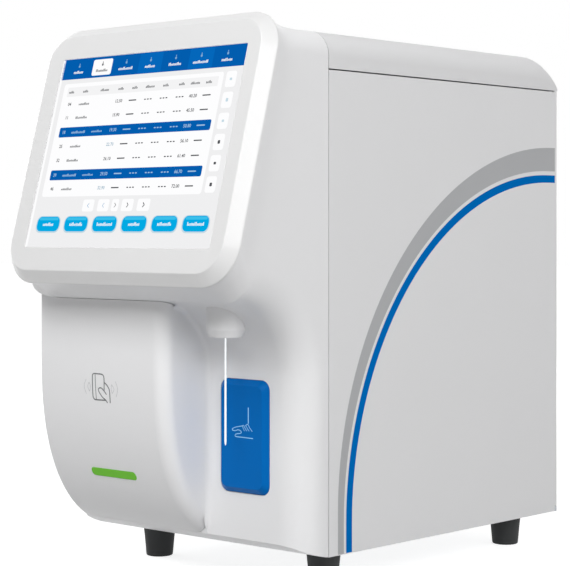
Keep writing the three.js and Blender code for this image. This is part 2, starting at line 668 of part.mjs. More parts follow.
function keySwitchBoard() {
  const front = -keyBoard.back - keyBoard.thickness;
  const board = block([keyX - keyBoard.width / 2, front, key.centreHeight - keyBoard.height / 2],
    [keyX + keyBoard.width / 2, -keyBoard.back, key.centreHeight + keyBoard.height / 2]);
  const half = keyBoard.switchWidth / 2;
  const shellBox = block([keyX - half, front - keyBoard.switchDepth, key.centreHeight - half],
    [keyX + half, -keyBoard.back - keyBoard.thickness / 2, key.centreHeight + half]);
  const pressed = key.depth - column.reach + key.travel + shell.fit;
  const plunger = rod('y', keyBoard.plungerRadius, pressed, front, [keyX, key.centreHeight]);
  return join(board, shellBox, plunger);
}

// Status light in the belly

function statusLight() {
  const bar = frontPlate(roundedOutline(light.width, light.bar, light.bar / 2 - shell.fit / 2), light.depth,
    -shell.fit, [0, 0]);
  const lip = frontPlate(roundedOutline(light.width + 2 * light.lip, light.bar + 2 * light.lip, light.lip),
    light.depth + light.lipDepth, light.depth, [0, 0]);
  return onBelly(join(bar, lip), lightX, light.height);
}

// Probe, its shroud and wash block

function probeShroud() {
  const cup = turned('z', [
    [shroud.radius - shroud.chamfer, shroudLow],
    [shroud.radius, shroudLow + shroud.chamfer],
    [shroud.radius, belly.top],
  ], [probeX, -probe.reach], facets.round);
  const inside = rod('z', shroud.radius - shroud.skin, shroudLow + shroud.skin, belly.top + shell.overrun,
    [probeX, -probe.reach], facets.round);
  const mouth = rod('z', shroud.mouth, shroudLow - shell.overrun, belly.top, [probeX, -probe.reach]);
  return cut(cup, inside, mouth, casingSkin(-shell.fit, shell.overrun, facets.corner));
}

function probeWashBlock() {
  const low = shroudLow + shroud.skin + shell.fit;
  const at = [probeX, -probe.reach];
  const core = rod('z', washBlock.radius, low, low + washBlock.height, at, facets.round);
  const port = rod('y', washBlock.portRadius, -probe.reach,
    -probe.reach + washBlock.radius + washBlock.portLength,
    [probeX, low + washBlock.height - 2 * washBlock.portRadius]);
  const bore = rod('z', washBlock.bore, low - shell.overrun, low + washBlock.height + shell.overrun, at);
  return cut(join(core, port), bore);
}

function sampleProbe() {
  return turned('z', [
    [probe.radius / 2, probe.tip],
    [probe.radius, probe.tip + probe.tipCone],
    [probe.radius, probe.top],
  ], [probeX, -probe.reach]);
}

const railFront = bracket.front - shell.fit - rail.depth;

function probeCarriage() {
  const left = railX - carriage.width / 2;
  const right = railX + carriage.width / 2;
  const high = carriage.low + carriage.height;
  const back = railFront + rail.depth / 2;
  const saddle = block([left, back - carriage.depth, carriage.low], [right, back, high]);
  const channel = block([railX - rail.width / 2 - shell.fit, railFront - shell.fit, -shell.overrun],
    [railX + rail.width / 2 + shell.fit, back + shell.overrun, body.height]);
  const top = carriage.low + carriage.armHeight;
  const half = carriage.armWidth / 2;
  const arm = block([probeX - half, -probe.reach, carriage.low],
    [probeX + half, back - carriage.depth / 2, top]);
  const clamp = rod('z', carriage.clamp, carriage.low, top, [probeX, -probe.reach]);
  const bore = rod('z', probe.radius + shell.fit, -shell.overrun, body.height, [probeX, -probe.reach]);
  const tab = block([right - half, beltBack - belt.width, carriage.low + carriage.tabLow],
    [beltLeft - shell.fit, beltBack, carriage.low + carriage.tabLow + carriage.tabHeight]);
  return cut(join(saddle, arm, clamp, tab), channel, bore);
}

const beltLeft = pulleyX - pulley.radius - shell.fit - belt.thickness;
const beltBack = bracket.front - shell.fit - pulley.flangeWidth - 2 * shell.fit;

function liftBracket() {
  const plate = block([bracketLeft, bracket.front, bracket.low],
    [bracketRight, bracket.front + bracket.thickness, bracketHigh]);
  const shelf = block([bracketLeft, bracket.front, bracketHigh - bracket.thickness],
    [bracketRight, bracket.front + bracket.foot, bracketHigh]);
  const shaftHole = rod('y', liftMotor.pilot + shell.fit, -bracket.foot, 2 * bracket.foot,
    [pulleyX, pulleyHigh], facets.round);
  const pin = rod('y', pulley.pin, bracket.front - pulley.width - shell.fit,
    bracket.front + bracket.thickness / 2,
    [pulleyX, pulley.low]);
  const arm = block([bracketLeft, bracket.front, bracket.low],
    [bracketLeft + bracket.thickness, divider.front - shell.fit, bracket.low + bracket.foot]);
  const tie = block([dividerX + divider.thickness / 2 + shell.fit,
    divider.front - shell.fit - bracket.thickness,
    bracket.low], [bracketLeft + bracket.thickness, divider.front - shell.fit, bracket.low + bracket.foot]);
  return join(cut(join(plate, shelf), shaftHole), pin, arm, tie);
}

function probeRail() {
  return block([railX - rail.width / 2, railFront, rail.low],
    [railX + rail.width / 2, bracket.front - shell.fit, railHigh]);
}

// A belt wheel with two flanges in front of the bracket
function beltWheel(height) {
  const back = bracket.front - shell.fit;
  const front = back - pulley.width;
  return turned('y', [
    [pulley.flange, front],
    [pulley.flange, front + pulley.flangeWidth],
    [pulley.radius, front + pulley.flangeWidth],
    [pulley.radius, back - pulley.flangeWidth],
    [pulley.flange, back - pulley.flangeWidth],
    [pulley.flange, back],
  ], [pulleyX, height], facets.round);
}

function drivePulley() {
  const back = bracket.front + bracket.thickness + shell.fit;
  const shaft = rod('y', pulley.shaft, bracket.front - pulley.width / 2, back + liftMotor.length / 2,
    [pulleyX, pulleyHigh]);
  return join(beltWheel(pulleyHigh), shaft);
}

function idlerPulley() {
  const bore = rod('y', pulley.pin + shell.fit, -body.depth, body.depth, [pulleyX, pulley.low]);
  return cut(beltWheel(pulley.low), bore);
}

function driveBelt() {
  const loop = (radius) => {
    const shape = new THREE.Shape();
    shape.absarc(0, pulleyHigh - pulley.low, radius, 0, Math.PI);
    shape.absarc(0, 0, radius, Math.PI, 2 * Math.PI);
    return shape;
  };
  const inside = pulley.radius + shell.fit;
  const outer = frontPlate(loop(inside + belt.thickness), beltBack, beltBack - belt.width,
    [pulleyX, pulley.low]);
  const inner = frontPlate(loop(inside), beltBack + shell.overrun, beltBack - belt.width - shell.overrun,
    [pulleyX, pulley.low]);
  return cut(outer, inner);
}

function probeMotor() {
  const front = bracket.front + bracket.thickness + shell.fit;
  const at = [pulleyX, pulleyHigh];
  const square = liftMotor.square;
  const high = bracketHigh - bracket.thickness - shell.fit;
  const can = block([pulleyX - square / 2, front, high - square], [pulleyX + square / 2,
    front + liftMotor.length, high]);
  const bore = rod('y', pulley.shaft + shell.fit, -body.depth, front + liftMotor.length / 2 + shell.fit, at);
  const pilot = rod('y', liftMotor.pilot, front - liftMotor.pilotDepth, front + liftMotor.pilotDepth, at,
    facets.round);
  return cut(join(can, pilot), bore);
}

// Frame

function midDivider() {
  const low = base.thickness + shell.fit;
  const half = divider.thickness / 2;
  const sheet = block([dividerX - half, divider.front, low], [dividerX + half, dividerRear, dividerTop]);
  const footFlange = block([dividerX - divider.foot, divider.front, low],
    [dividerX, dividerRear, low + divider.thickness]);
  const rearFlange = block([dividerX - divider.foot, dividerRear - divider.thickness, low],
    [dividerX, dividerRear, dividerTop]);
  const pass = block([-body.width, (divider.front + dividerRear) / 2 - divider.foot,
    dividerTop - 2 * divider.foot],
    [body.width, (divider.front + dividerRear) / 2 + divider.foot, dividerTop - divider.foot]);
  return cut(join(sheet, footFlange, rearFlange), pass);
}

function doorPost() {
  const low = base.thickness + shell.fit;
  const front = shell.seam + base.thickness + shell.fit;
  const right = halfWidth - panel.rib - shell.wall;
  const web = block([postLeft, front, low], [right, front + post.thickness, postTop]);
  const side = block([postLeft, front, low], [postLeft + post.thickness, front + post.depth, postTop]);
  return join(web, side);
}

function doorMagnet() {
  const front = shell.seam + base.thickness + shell.fit + post.thickness + shell.fit;
  return block([postLeft + post.thickness + shell.fit, front, magnet.middle - magnet.height / 2],
    [halfWidth - panel.rib - shell.seam, front + magnet.depth, magnet.middle + magnet.height / 2]);
}

// Electronics

function electronicsBoard() {
  const face = dividerX - divider.thickness / 2 - shell.fit;
  const back = face - mainBoard.standoff;
  const front = back - mainBoard.thickness;
  const middleY = (mainBoard.front + mainBoardRear) / 2;
  const middleZ = (mainBoard.low + mainBoardHigh) / 2;
  const board = block([front, mainBoard.front, mainBoard.low], [back, mainBoardRear, mainBoardHigh]);
  const heatSink = block([front - mainBoard.sinkDepth, middleY - mainBoard.sinkWidth, middleZ],
    [front + mainBoard.thickness / 2, middleY, middleZ + mainBoard.sinkTall]);
  const chip = block([front - mainBoard.chipDepth, middleY + mainBoard.chip, middleZ - 2 * mainBoard.chip],
    [front + mainBoard.thickness / 2, middleY + 2 * mainBoard.chip, middleZ - mainBoard.chip]);
  const legs = [];
  for (const y of [mainBoard.front + mainBoard.edge, mainBoardRear - mainBoard.edge]) {
    for (const z of [mainBoard.low + mainBoard.edge, mainBoardHigh - mainBoard.edge]) {
      legs.push(rod('x', mainBoard.standoffRadius, back - mainBoard.thickness / 2, face, [y, z]));
    }
  }
  return join(board, heatSink, chip, ...legs);
}

function powerSupply() {
  const low = base.thickness + shell.fit;
  const box = block([supplyLeft, supplyRear - supply.length, low + supply.footDepth],
    [supplyRight, supplyRear, low + supply.footDepth + supply.height]);
  const feet = [supplyLeft, supplyRight - supply.foot].map((x) => block([x, supplyRear - supply.length, low],
    [x + supply.foot, supplyRear, low + 2 * supply.footDepth]));
  return join(box, ...feet);
}

const socketBlock = {
  width: sockets.netWidth + 2 * sockets.usbWidth + 4 * sockets.skin,
  tall: sockets.netTall + 2 * sockets.skin,
};
const socketFront = body.depth + sockets.proud;

function dataSockets() {
  const high = sockets.height + socketBlock.tall / 2;
  const low = sockets.height - socketBlock.tall / 2;
  const left = socketsX - socketBlock.width / 2;
  const box = block([left, socketFront - sockets.depth, low], [left + socketBlock.width, socketFront, high]);
  const hole = (start, width, tall) => block(
    [start, socketFront - sockets.hollow, sockets.height - tall / 2],
    [start + width, socketFront + shell.overrun, sockets.height + tall / 2]);
  const firstUsb = left + sockets.skin;
  const secondUsb = firstUsb + sockets.usbWidth + sockets.skin;
  const net = secondUsb + sockets.usbWidth + sockets.skin;
  return cut(box, hole(firstUsb, sockets.usbWidth, sockets.usbTall),
    hole(secondUsb, sockets.usbWidth, sockets.usbTall), hole(net, sockets.netWidth, sockets.netTall));
}

// Power entry

function powerInlet() {
  const front = body.depth + shell.fit;
  const at = [inletX, inlet.height];
  const flange = frontPlate(roundedOutline(inlet.flangeWidth, inlet.flangeTall, inlet.flange),
    front + inlet.flange,
    front, at);
  const can = frontPlate(roundedOutline(inlet.width, inlet.tall, inlet.flange), front + inlet.flange / 2,
    front - inlet.depth, at);
  const socket = frontPlate(roundedOutline(inlet.socketWidth, inlet.socketTall, inlet.flange,
    2 * inlet.flange),
    front + inlet.flange + shell.overrun, front + inlet.flange - inlet.socketDepth, at);
  const pins = [-inlet.pinSpread, 0, inlet.pinSpread].map((side) => block(
    [inletX + side - inlet.pinWidth / 2, front - inlet.socketDepth, inlet.height - inlet.pinTall / 2],
    [inletX + side + inlet.pinWidth / 2, front - inlet.flange, inlet.height + inlet.pinTall / 2]));
  return join(cut(join(flange, can), socket), ...pins);
}

const rockerPivot = body.depth + rocker.flange - rocker.pivotDepth;

function switchFrame() {
  const at = [rockerX, inlet.height];
  const front = body.depth + shell.fit;
  const wide = rocker.cupWidth + 2 * rocker.skin;
  const tall = rocker.cupTall + 2 * rocker.skin;
  const flange = frontPlate(roundedOutline(rocker.frameWidth, rocker.frameTall, rocker.skin),
    front + rocker.flange, front, at);
  const cup = frontPlate(roundedOutline(wide, tall, rocker.skin / 2), front + rocker.flange / 2,
    front - rocker.depth, at);
  const hollow = frontPlate(roundedOutline(rocker.cupWidth, rocker.cupTall, rocker.play),
    front + shell.overrun, front - rocker.depth + rocker.skin, at);
  return cut(join(flange, cup), hollow);
}

function powerRocker() {
  const half = rocker.cupTall / 2 - 2 * rocker.play;
  const swing = THREE.MathUtils.degToRad(rocker.swingDegrees);
  const rise = half * Math.sin(swing);
  const front = rocker.pivotDepth;
  const shape = new THREE.Shape();
  shape.moveTo(-rocker.belly, -half + rise);
  shape.lineTo(front - rise, -half);
  shape.lineTo(front - 2 * rise, 0);
  shape.lineTo(front - rise, half);
  shape.lineTo(-rocker.belly, half - rise);
  const width = rocker.cupWidth - 2 * rocker.play;
  const geometry = new THREE.ExtrudeGeometry(shape, { depth: width, bevelEnabled: false });
  geometry.applyMatrix4(new THREE.Matrix4().makeBasis(
    new THREE.Vector3(0, 1, 0), new THREE.Vector3(0, 0, 1), new THREE.Vector3(1, 0, 0)));
  geometry.rotateX(-swing);
  return geometry.translate(rockerX - width / 2, rockerPivot, inlet.height);
}

// Cooling fan

function fanFrame() {
  const back = panelInside - shell.fit;
  const at = [fanX, fan.height];
  const square = frontPlate(roundedOutline(fan.size, fan.size, fan.corner), back, back - fan.depth, at);
  const bore = rod('y', fan.bore, back - fan.depth - shell.overrun, back + shell.overrun, at, facets.round);
  const front = back - fan.depth;
  const struts = [0, Math.PI / 2].map((turn) => {
    const bar = block([-fan.bore - fan.strut / 2, front, -fan.strut / 2],
      [fan.bore + fan.strut / 2, front + fan.strutDepth, fan.strut / 2]);
    return bar.rotateY(turn + Math.PI / 4).translate(fanX, 0, fan.height);
  });
  const plate = rod('y', fan.backRadius, front, front + fan.strutDepth, at, facets.round);
  const spindle = rod('y', fan.spindle, front, front + fan.depth / 2, at);
  return join(cut(square, bore), ...struts, plate, spindle);
}

function fanRotor() {
  const front = panelInside - shell.fit - fan.depth + fan.strutDepth + 2 * shell.fit;
  const rear = panelInside - 2 * shell.fit - fan.strutDepth;
  const at = [fanX, fan.height];
  const hub = rod('y', fan.hub, front, rear, at, facets.round);
  const blades = Array.from({ length: fan.blades }, (_, blade) => {
    const leaf = block([-fan.bladeThickness / 2, -fan.bladeDepth / 2, fan.hub - fan.bladeThickness],
      [fan.bladeThickness / 2, fan.bladeDepth / 2, fan.bladeTip]);
    leaf.rotateZ(THREE.MathUtils.degToRad(fan.bladePitchDegrees)).rotateY(blade * 2 * Math.PI / fan.blades);
    return leaf.translate(fanX, (front + rear) / 2, fan.height);
  });
  const bore = rod('y', fan.spindle + shell.fit, front - shell.overrun,
    front - fan.strutDepth + fan.depth / 2, at);
  return cut(join(hub, ...blades), bore);
}

function fanGuard() {
  const back = body.depth + shell.fit;
  const half = guard.wire / 2;
  const outer = fan.bore + guard.clearance;
  const rings = guardRingShares.map((share) => {
    const radius = share * outer;
    const disc = rod('y', radius + half, back, back + guard.wire, [fanX, fan.height], facets.round);
    const hole = rod('y', radius - half, back - shell.overrun, back + shell.overrun, [fanX, fan.height],
      facets.round);
    return cut(disc, hole);
  });
  const reach = outer + guard.tab;
  const spokes = [1, -1].map((turn) => block([-reach, back, -half], [reach, back + guard.wire, half])
    .rotateY(turn * Math.PI / 4).translate(fanX, 0, fan.height));
  const hub = rod('y', guard.hub, back, back + guard.wire, [fanX, fan.height]);
  return join(...rings, ...spokes, hub);
}

// Reagent ports

const portMiddles = Array.from({ length: ports.count },
  (_, port) => fromRight(ports.firstFromRight) + port * ports.pitch);

function reagentPort(middle) {
  const outside = body.depth + shell.fit;
  const inside = panelInside - shell.fit;
  return turned('y', [
    [ports.nipple, inside - ports.nutDepth - ports.tail],
    [ports.nipple, inside - ports.nutDepth],
    [ports.nut, inside - ports.nutDepth],
    [ports.nut, inside],
    [ports.neck, inside],
    [ports.neck, outside],
    [ports.flange, outside],
    [ports.flange, outside + ports.flangeDepth],
    [ports.nipple, outside + ports.flangeDepth],
    [ports.nipple, outside + ports.reach / 2],
    [ports.barb, outside + ports.reach / 2],
    [ports.nipple, outside + ports.reach],
  ], [middle, ports.height]);
}

// Fluidics

const bayFace = dividerX + divider.thickness / 2 + shell.fit;
const bathMiddles = [baths.first, baths.first + baths.pitch];

function bathBracket() {
  const low = baths.low - shell.fit - bathShelf.thickness;
  const front = baths.first - baths.radius - bathShelf.margin;
  const rear = baths.first + baths.pitch + baths.radius + bathShelf.margin;
  const reach = bathX + baths.radius + bathShelf.margin;
  const shelf = block([bayFace, front, low], [reach, rear, low + bathShelf.thickness]);
  const upright = block([bayFace, front, low],
    [bayFace + bathShelf.thickness, rear, low + 2 * bathShelf.lip]);
  const holes = bathMiddles.map((y) => rod('z', bathShelf.hole, low - shell.overrun, low + shell.overrun,
    [bathX, y]));
  return cut(join(shelf, upright), ...holes);
}

function countingBath(y) {
  const low = baths.low;
  const outside = turned('z', [
    [baths.outlet + baths.skin / 2, low - baths.outletTall],
    [baths.outlet + baths.skin / 2, low],
    [baths.radius, low],
    [baths.radius, low + baths.tall],
  ], [bathX, y], facets.round);
  const inside = turned('z', [
    [baths.outlet - baths.skin / 2, low - baths.outletTall - shell.overrun],
    [baths.outlet - baths.skin / 2, low + baths.skin],
    [baths.radius - baths.skin, low + baths.cone],
    [baths.radius - baths.skin, low + baths.tall + shell.overrun],
  ], [bathX, y], facets.round);
  return cut(outside, inside);
}

const syringeAt = [syringeX, syringe.depth];

function syringeBracket() {
  const front = syringe.depth - syringeFrame.width / 2;
  const rear = syringe.depth + syringeFrame.width / 2;
  const high = syringe.barrelLow + syringe.barrelTall + shell.fit;
  const reach = bayFace + syringeFrame.thickness + syringeFrame.reach + syringeMotor.square / 2;
  const plate = block([bayFace, front, syringeFrame.low],
    [bayFace + syringeFrame.thickness, rear, high + syringeFrame.shelf]);
  const shelf = (low) => block([bayFace, front, low], [reach, rear, low + syringeFrame.shelf]);
  const lowShelf = syringe.barrelLow - shell.fit - syringeFrame.shelf;
  const motorShelf = syringeFrame.low + syringeMotor.tall + shell.fit;
  const hole = (radius, low) => rod('z', radius, low - shell.overrun, low + shell.overrun, syringeAt,
    facets.round);
  return cut(join(plate, shelf(high), shelf(lowShelf), shelf(motorShelf)),
    hole(syringe.nose + shell.fit, high),
    hole(syringe.rod + 2 * shell.fit, lowShelf), hole(syringe.rod + 2 * shell.fit, motorShelf));
}

function syringeBarrel() {
  const high = syringe.barrelLow + syringe.barrelTall;
  const outside = turned('z', [
    [syringe.barrel, syringe.barrelLow],
    [syringe.barrel, high],
    [syringe.nose, high],
    [syringe.nose, high + syringe.noseTall],
  ], syringeAt, facets.round);
  const bore = rod('z', syringe.bore, syringe.barrelLow - shell.overrun, high - syringe.nose, syringeAt,
    facets.round);
  const nozzle = rod('z', syringe.nose / 3, syringe.barrelLow, high + syringe.noseTall + shell.overrun,
    syringeAt);
  return cut(outside, bore, nozzle);
}

// Piston, rod and screw of the syringe in one, at the top of its stroke
function syringePlunger() {
  const top = syringe.barrelLow + syringe.barrelTall - syringe.nose - 2 * shell.fit;
  const couplerHigh = syringe.barrelLow - syringeFrame.shelf - 2 * shell.fit;
  const screwLow = syringeFrame.low + syringeMotor.tall / 2 - syringeScrew.tail;
  return turned('z', [
    [syringe.rod, screwLow],
    [syringe.rod, couplerHigh - syringeScrew.couplerTall],
    [syringeScrew.coupler, couplerHigh - syringeScrew.couplerTall],
    [syringeScrew.coupler, couplerHigh],
    [syringe.rod, couplerHigh],
    [syringe.rod, top - syringe.pistonTall],
    [syringe.piston, top - syringe.pistonTall],
    [syringe.piston, top],
  ], syringeAt, facets.round);
}

function syringeDrive() {
  const half = syringeMotor.square / 2;
  const can = block([syringeX - half, syringe.depth - half, syringeFrame.low],
    [syringeX + half, syringe.depth + half, syringeFrame.low + syringeMotor.tall]);
  const bore = rod('z', syringeMotor.bore, -shell.overrun, lidSeam, syringeAt);
  return cut(can, bore);
}

function valveManifold() {
  const length = (valves.count - 1) * valves.pitch + 2 * valves.margin;
  return block([bayFace, valves.front - valves.margin, valves.height - valves.block / 2],
    [bayFace + valves.blockDepth, valves.front - valves.margin + length, valves.height + valves.block / 2]);
}

function solenoidValve(y) {
  const back = bayFace + valves.blockDepth + shell.fit;
  return turned('x', [
    [valves.radius, back],
    [valves.radius, back + valves.length],
    [valves.cap, back + valves.length],
    [valves.cap, back + valves.length + valves.capLength],
  ], [y, valves.height]);
}

const wasteAt = [waste.depth, waste.height];
const wasteFront = wasteBack + waste.motorLength + waste.headDepth;

function wastePump() {
  const low = base.thickness + shell.fit;
  const face = wasteBack + waste.motorLength;
  const motor = rod('x', waste.motorRadius, wasteBack, face + shell.fit, wasteAt, facets.round);
  const head = rod('x', waste.head, face, wasteFront, wasteAt, facets.round);
  const cavity = rod('x', waste.cavity, wasteFront - waste.cavityDepth, wasteFront + shell.overrun, wasteAt,
    facets.round);
  const foot1 = block([face, waste.depth - waste.cradle, low], [wasteFront, waste.depth + waste.cradle,
    waste.height - waste.cavity]);
  const shaftHole = rod('x', waste.shaft + shell.fit, face + shell.wall / 2, wasteFront, wasteAt);
  return cut(join(motor, head, foot1), cavity, shaftHole);
}

function wasteRotor() {
  const inner = wasteFront - waste.cavityDepth + 2 * shell.fit;
  const hub = rod('x', waste.hub, inner, inner + waste.rollerDepth + 2 * waste.plateDepth, wasteAt);
  const shaft = rod('x', waste.shaft, inner - shell.wall / 2, inner + waste.plateDepth, wasteAt);
  const outerPlate = inner + waste.plateDepth + waste.rollerDepth;
  const plates = [inner, outerPlate].map((x) => rod('x', waste.plate, x, x + waste.plateDepth, wasteAt,
    facets.round));
  const rollers = Array.from({ length: waste.rollers }, (_, roller) => {
    const angle = roller * 2 * Math.PI / waste.rollers;
    return rod('x', waste.rollerRadius, inner + waste.plateDepth / 2, outerPlate + waste.plateDepth / 2,
      [waste.depth + waste.rollerOrbit * Math.sin(angle),
      waste.height + waste.rollerOrbit * Math.cos(angle)]);
  });
  return join(hub, shaft, ...plates, ...rollers);
}

// Assembly

function addPiece(group, name, geometry, material) {
  const mesh = new THREE.Mesh(geometry, material);
  mesh.name = name;
  group.add(mesh);
  return mesh;
}

// Pieces that lie in the plane of the screen
function screenGroup() {
  const group = new THREE.Group();
  group.position.set(0, -bezel.footReach, bezel.footHeight);
  group.rotation.x = -tilt;
  addPiece(group, 'display_bezel', displayBezel(), bezelWhite);
  addPiece(group, 'touch_screen', touchScreen(), glassBlack);
  addPiece(group, 'lcd_module', lcdModule(), zinc);
  addPiece(group, 'display_board', displayElectronics(), boardGreen);
  return group;
}

function addCasings(group) {
  addPiece(group, 'front_casing', frontCasing(), casingWhite);
  addPiece(group, 'belly_cover', bellyCover(), casingWhite);
  addPiece(group, 'top_cover', topCover(), casingWhite);
  addPiece(group, 'left_panel', leftPanel(), panelGrey);
  addPiece(group, 'service_door', serviceDoor(), panelGrey);
  addPiece(group, 'rear_panel', rearCover(), zinc);
  addPiece(group, 'base_plate', basePlate(), zinc);
  const pinLow = hinge.sink / 2 + shell.fit;
  const pinHigh = lidSeam + hinge.sink / 2 - shell.fit;
  addPiece(group, 'door_pin_lower', hingePin(pinLow, hinge.notch + hinge.pinReach), steel);
  addPiece(group, 'door_pin_upper', hingePin(lidSeam - hinge.notch - hinge.pinReach, pinHigh), steel);
  for (const [side, x] of [['left', foot.inset - halfWidth], ['right', halfWidth - foot.inset]]) {
    for (const [end, y] of [['front', foot.front], ['rear', body.depth - foot.fromRear]]) {
      addPiece(group, `foot_${end}_${side}`, rubberFoot(), rubberBlack).position.set(x, y, 0);
    }
  }
}

function addFrontControls(group) {
  addPiece(group, 'aspirate_key', aspirateKey(), keyBlue);
  addPiece(group, 'key_switch_board', keySwitchBoard(), boardGreen);
  addPiece(group, 'status_light', statusLight(), lightGreen);
}

function addSampler(group) {
  addPiece(group, 'probe_shroud', probeShroud(), casingWhite);
  addPiece(group, 'wash_block', probeWashBlock(), barbWhite);
  addPiece(group, 'sample_probe', sampleProbe(), steel);
  addPiece(group, 'probe_carriage', probeCarriage(), plasticBlack);
  addPiece(group, 'lift_bracket', liftBracket(), zinc);
  addPiece(group, 'probe_rail', probeRail(), steel);
  addPiece(group, 'drive_pulley', drivePulley(), brass);
  addPiece(group, 'idler_pulley', idlerPulley(), brass);
  addPiece(group, 'drive_belt', driveBelt(), rubberBlack);
  addPiece(group, 'probe_motor', probeMotor(), plasticBlack);
}

function addFrame(group) {
  addPiece(group, 'mid_divider', midDivider(), zinc);
  addPiece(group, 'door_post', doorPost(), zinc);
  addPiece(group, 'door_magnet', doorMagnet(), plasticBlack);
}

function addElectronics(group) {
  addPiece(group, 'main_board', electronicsBoard(), boardGreen);
  addPiece(group, 'power_supply', powerSupply(), zinc);
  addPiece(group, 'data_sockets', dataSockets(), plasticBlack);
  addPiece(group, 'power_inlet', powerInlet(), plasticBlack);
  addPiece(group, 'switch_frame', switchFrame(), plasticBlack);
  addPiece(group, 'power_rocker', powerRocker(), plasticBlack);
  addPiece(group, 'fan_frame', fanFrame(), plasticBlack);
  addPiece(group, 'fan_rotor', fanRotor(), plasticBlack);
  addPiece(group, 'fan_guard', fanGuard(), steel);
}

function addFluidics(group) {
  portMiddles.forEach((middle, port) =>
    addPiece(group, `reagent_port_${port + 1}`, reagentPort(middle), barbWhite));
  addPiece(group, 'bath_bracket', bathBracket(), zinc);
  bathMiddles.forEach((y, bath) => addPiece(group, `counting_bath_${bath + 1}`, countingBath(y), clearCup));
  addPiece(group, 'syringe_bracket', syringeBracket(), zinc);
  addPiece(group, 'syringe_barrel', syringeBarrel(), clearCup);
  addPiece(group, 'syringe_plunger', syringePlunger(), steel);
  addPiece(group, 'syringe_motor', syringeDrive(), plasticBlack);
  addPiece(group, 'valve_manifold', valveManifold(), clearCup);
  for (let valve = 0; valve < valves.count; valve++) {
    addPiece(group, `solenoid_valve_${valve + 1}`, solenoidValve(valves.front + valve * valves.pitch),
      plasticBlack);
  }
  addPiece(group, 'waste_pump', wastePump(), plasticBlack);
  addPiece(group, 'waste_rotor', wasteRotor(), barbWhite);
}

function analyzer() {
  const group = new THREE.Group();
  const [frontMost] = facePoint(bezel.edge, -bezel.thickness);
  const rearMost = body.depth + shell.fit + ports.reach;
  group.position.set(0, -(frontMost + rearMost) / 2, foot.height);
  group.add(screenGroup());
  addCasings(group);
  addFrontControls(group);
  addSampler(group);
  addFrame(group);
  addElectronics(group);
  addFluidics(group);
  return group;
}

export default analyzer();
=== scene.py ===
"""Looks of a benchtop hematology analyzer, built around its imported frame."""

import logging
import math
from collections.abc import Callable, Sequence
from dataclasses import dataclass, field
from enum import Enum
from functools import lru_cache
from typing import Protocol

import bmesh
import bpy
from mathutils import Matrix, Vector


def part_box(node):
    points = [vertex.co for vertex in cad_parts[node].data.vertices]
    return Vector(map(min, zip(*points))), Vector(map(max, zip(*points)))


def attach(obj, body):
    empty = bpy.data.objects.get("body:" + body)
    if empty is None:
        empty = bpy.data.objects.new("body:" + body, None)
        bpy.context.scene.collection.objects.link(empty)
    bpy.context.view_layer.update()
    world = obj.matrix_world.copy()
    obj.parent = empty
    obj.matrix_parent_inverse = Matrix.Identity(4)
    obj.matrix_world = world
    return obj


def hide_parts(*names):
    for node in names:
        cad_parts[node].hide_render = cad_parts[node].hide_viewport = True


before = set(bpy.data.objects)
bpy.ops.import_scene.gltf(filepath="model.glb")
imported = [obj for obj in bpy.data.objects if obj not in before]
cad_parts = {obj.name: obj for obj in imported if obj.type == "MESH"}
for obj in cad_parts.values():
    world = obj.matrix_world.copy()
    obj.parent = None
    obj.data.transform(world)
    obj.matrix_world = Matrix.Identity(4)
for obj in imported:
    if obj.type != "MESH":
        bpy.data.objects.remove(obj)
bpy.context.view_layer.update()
LOG = logging.getLogger("analyzer")

MM = 0.001
Point = tuple[float, float, float]
Flat = tuple[float, float]
Ring = list[Point]

# The body's own coordinates are millimetres: x from the middle, y from the front seam, z from its underside
BODY_DEPTH = 370.0
SEAM_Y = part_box("rear_panel")[1][1] - BODY_DEPTH * MM
UNDERSIDE_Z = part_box("base_plate")[0][2]
CHASSIS = "chassis"

# The needle across and in depth, the key across and up, and the screen across and up its slope
NEEDLE_AT: Flat = (74.6, -61.6)
KEY_AT: Flat = (74.6, 108.0)
GLASS_AT: Flat = (2.4, 126.2)


def placed(point: Sequence[float]) -> Vector:
    """Turns a point in the body's own millimetres into the frame's metres."""
    return Vector((point[0] * MM, point[1] * MM + SEAM_Y, point[2] * MM + UNDERSIDE_Z))


class Operation(Enum):
    """How one solid changes another."""

    CUT = "DIFFERENCE"
    JOIN = "UNION"


class Axis(Enum):
    """The line a turned or extruded piece is made along."""

    X = 0
    Y = 1
    Z = 2


# Shader toolkit


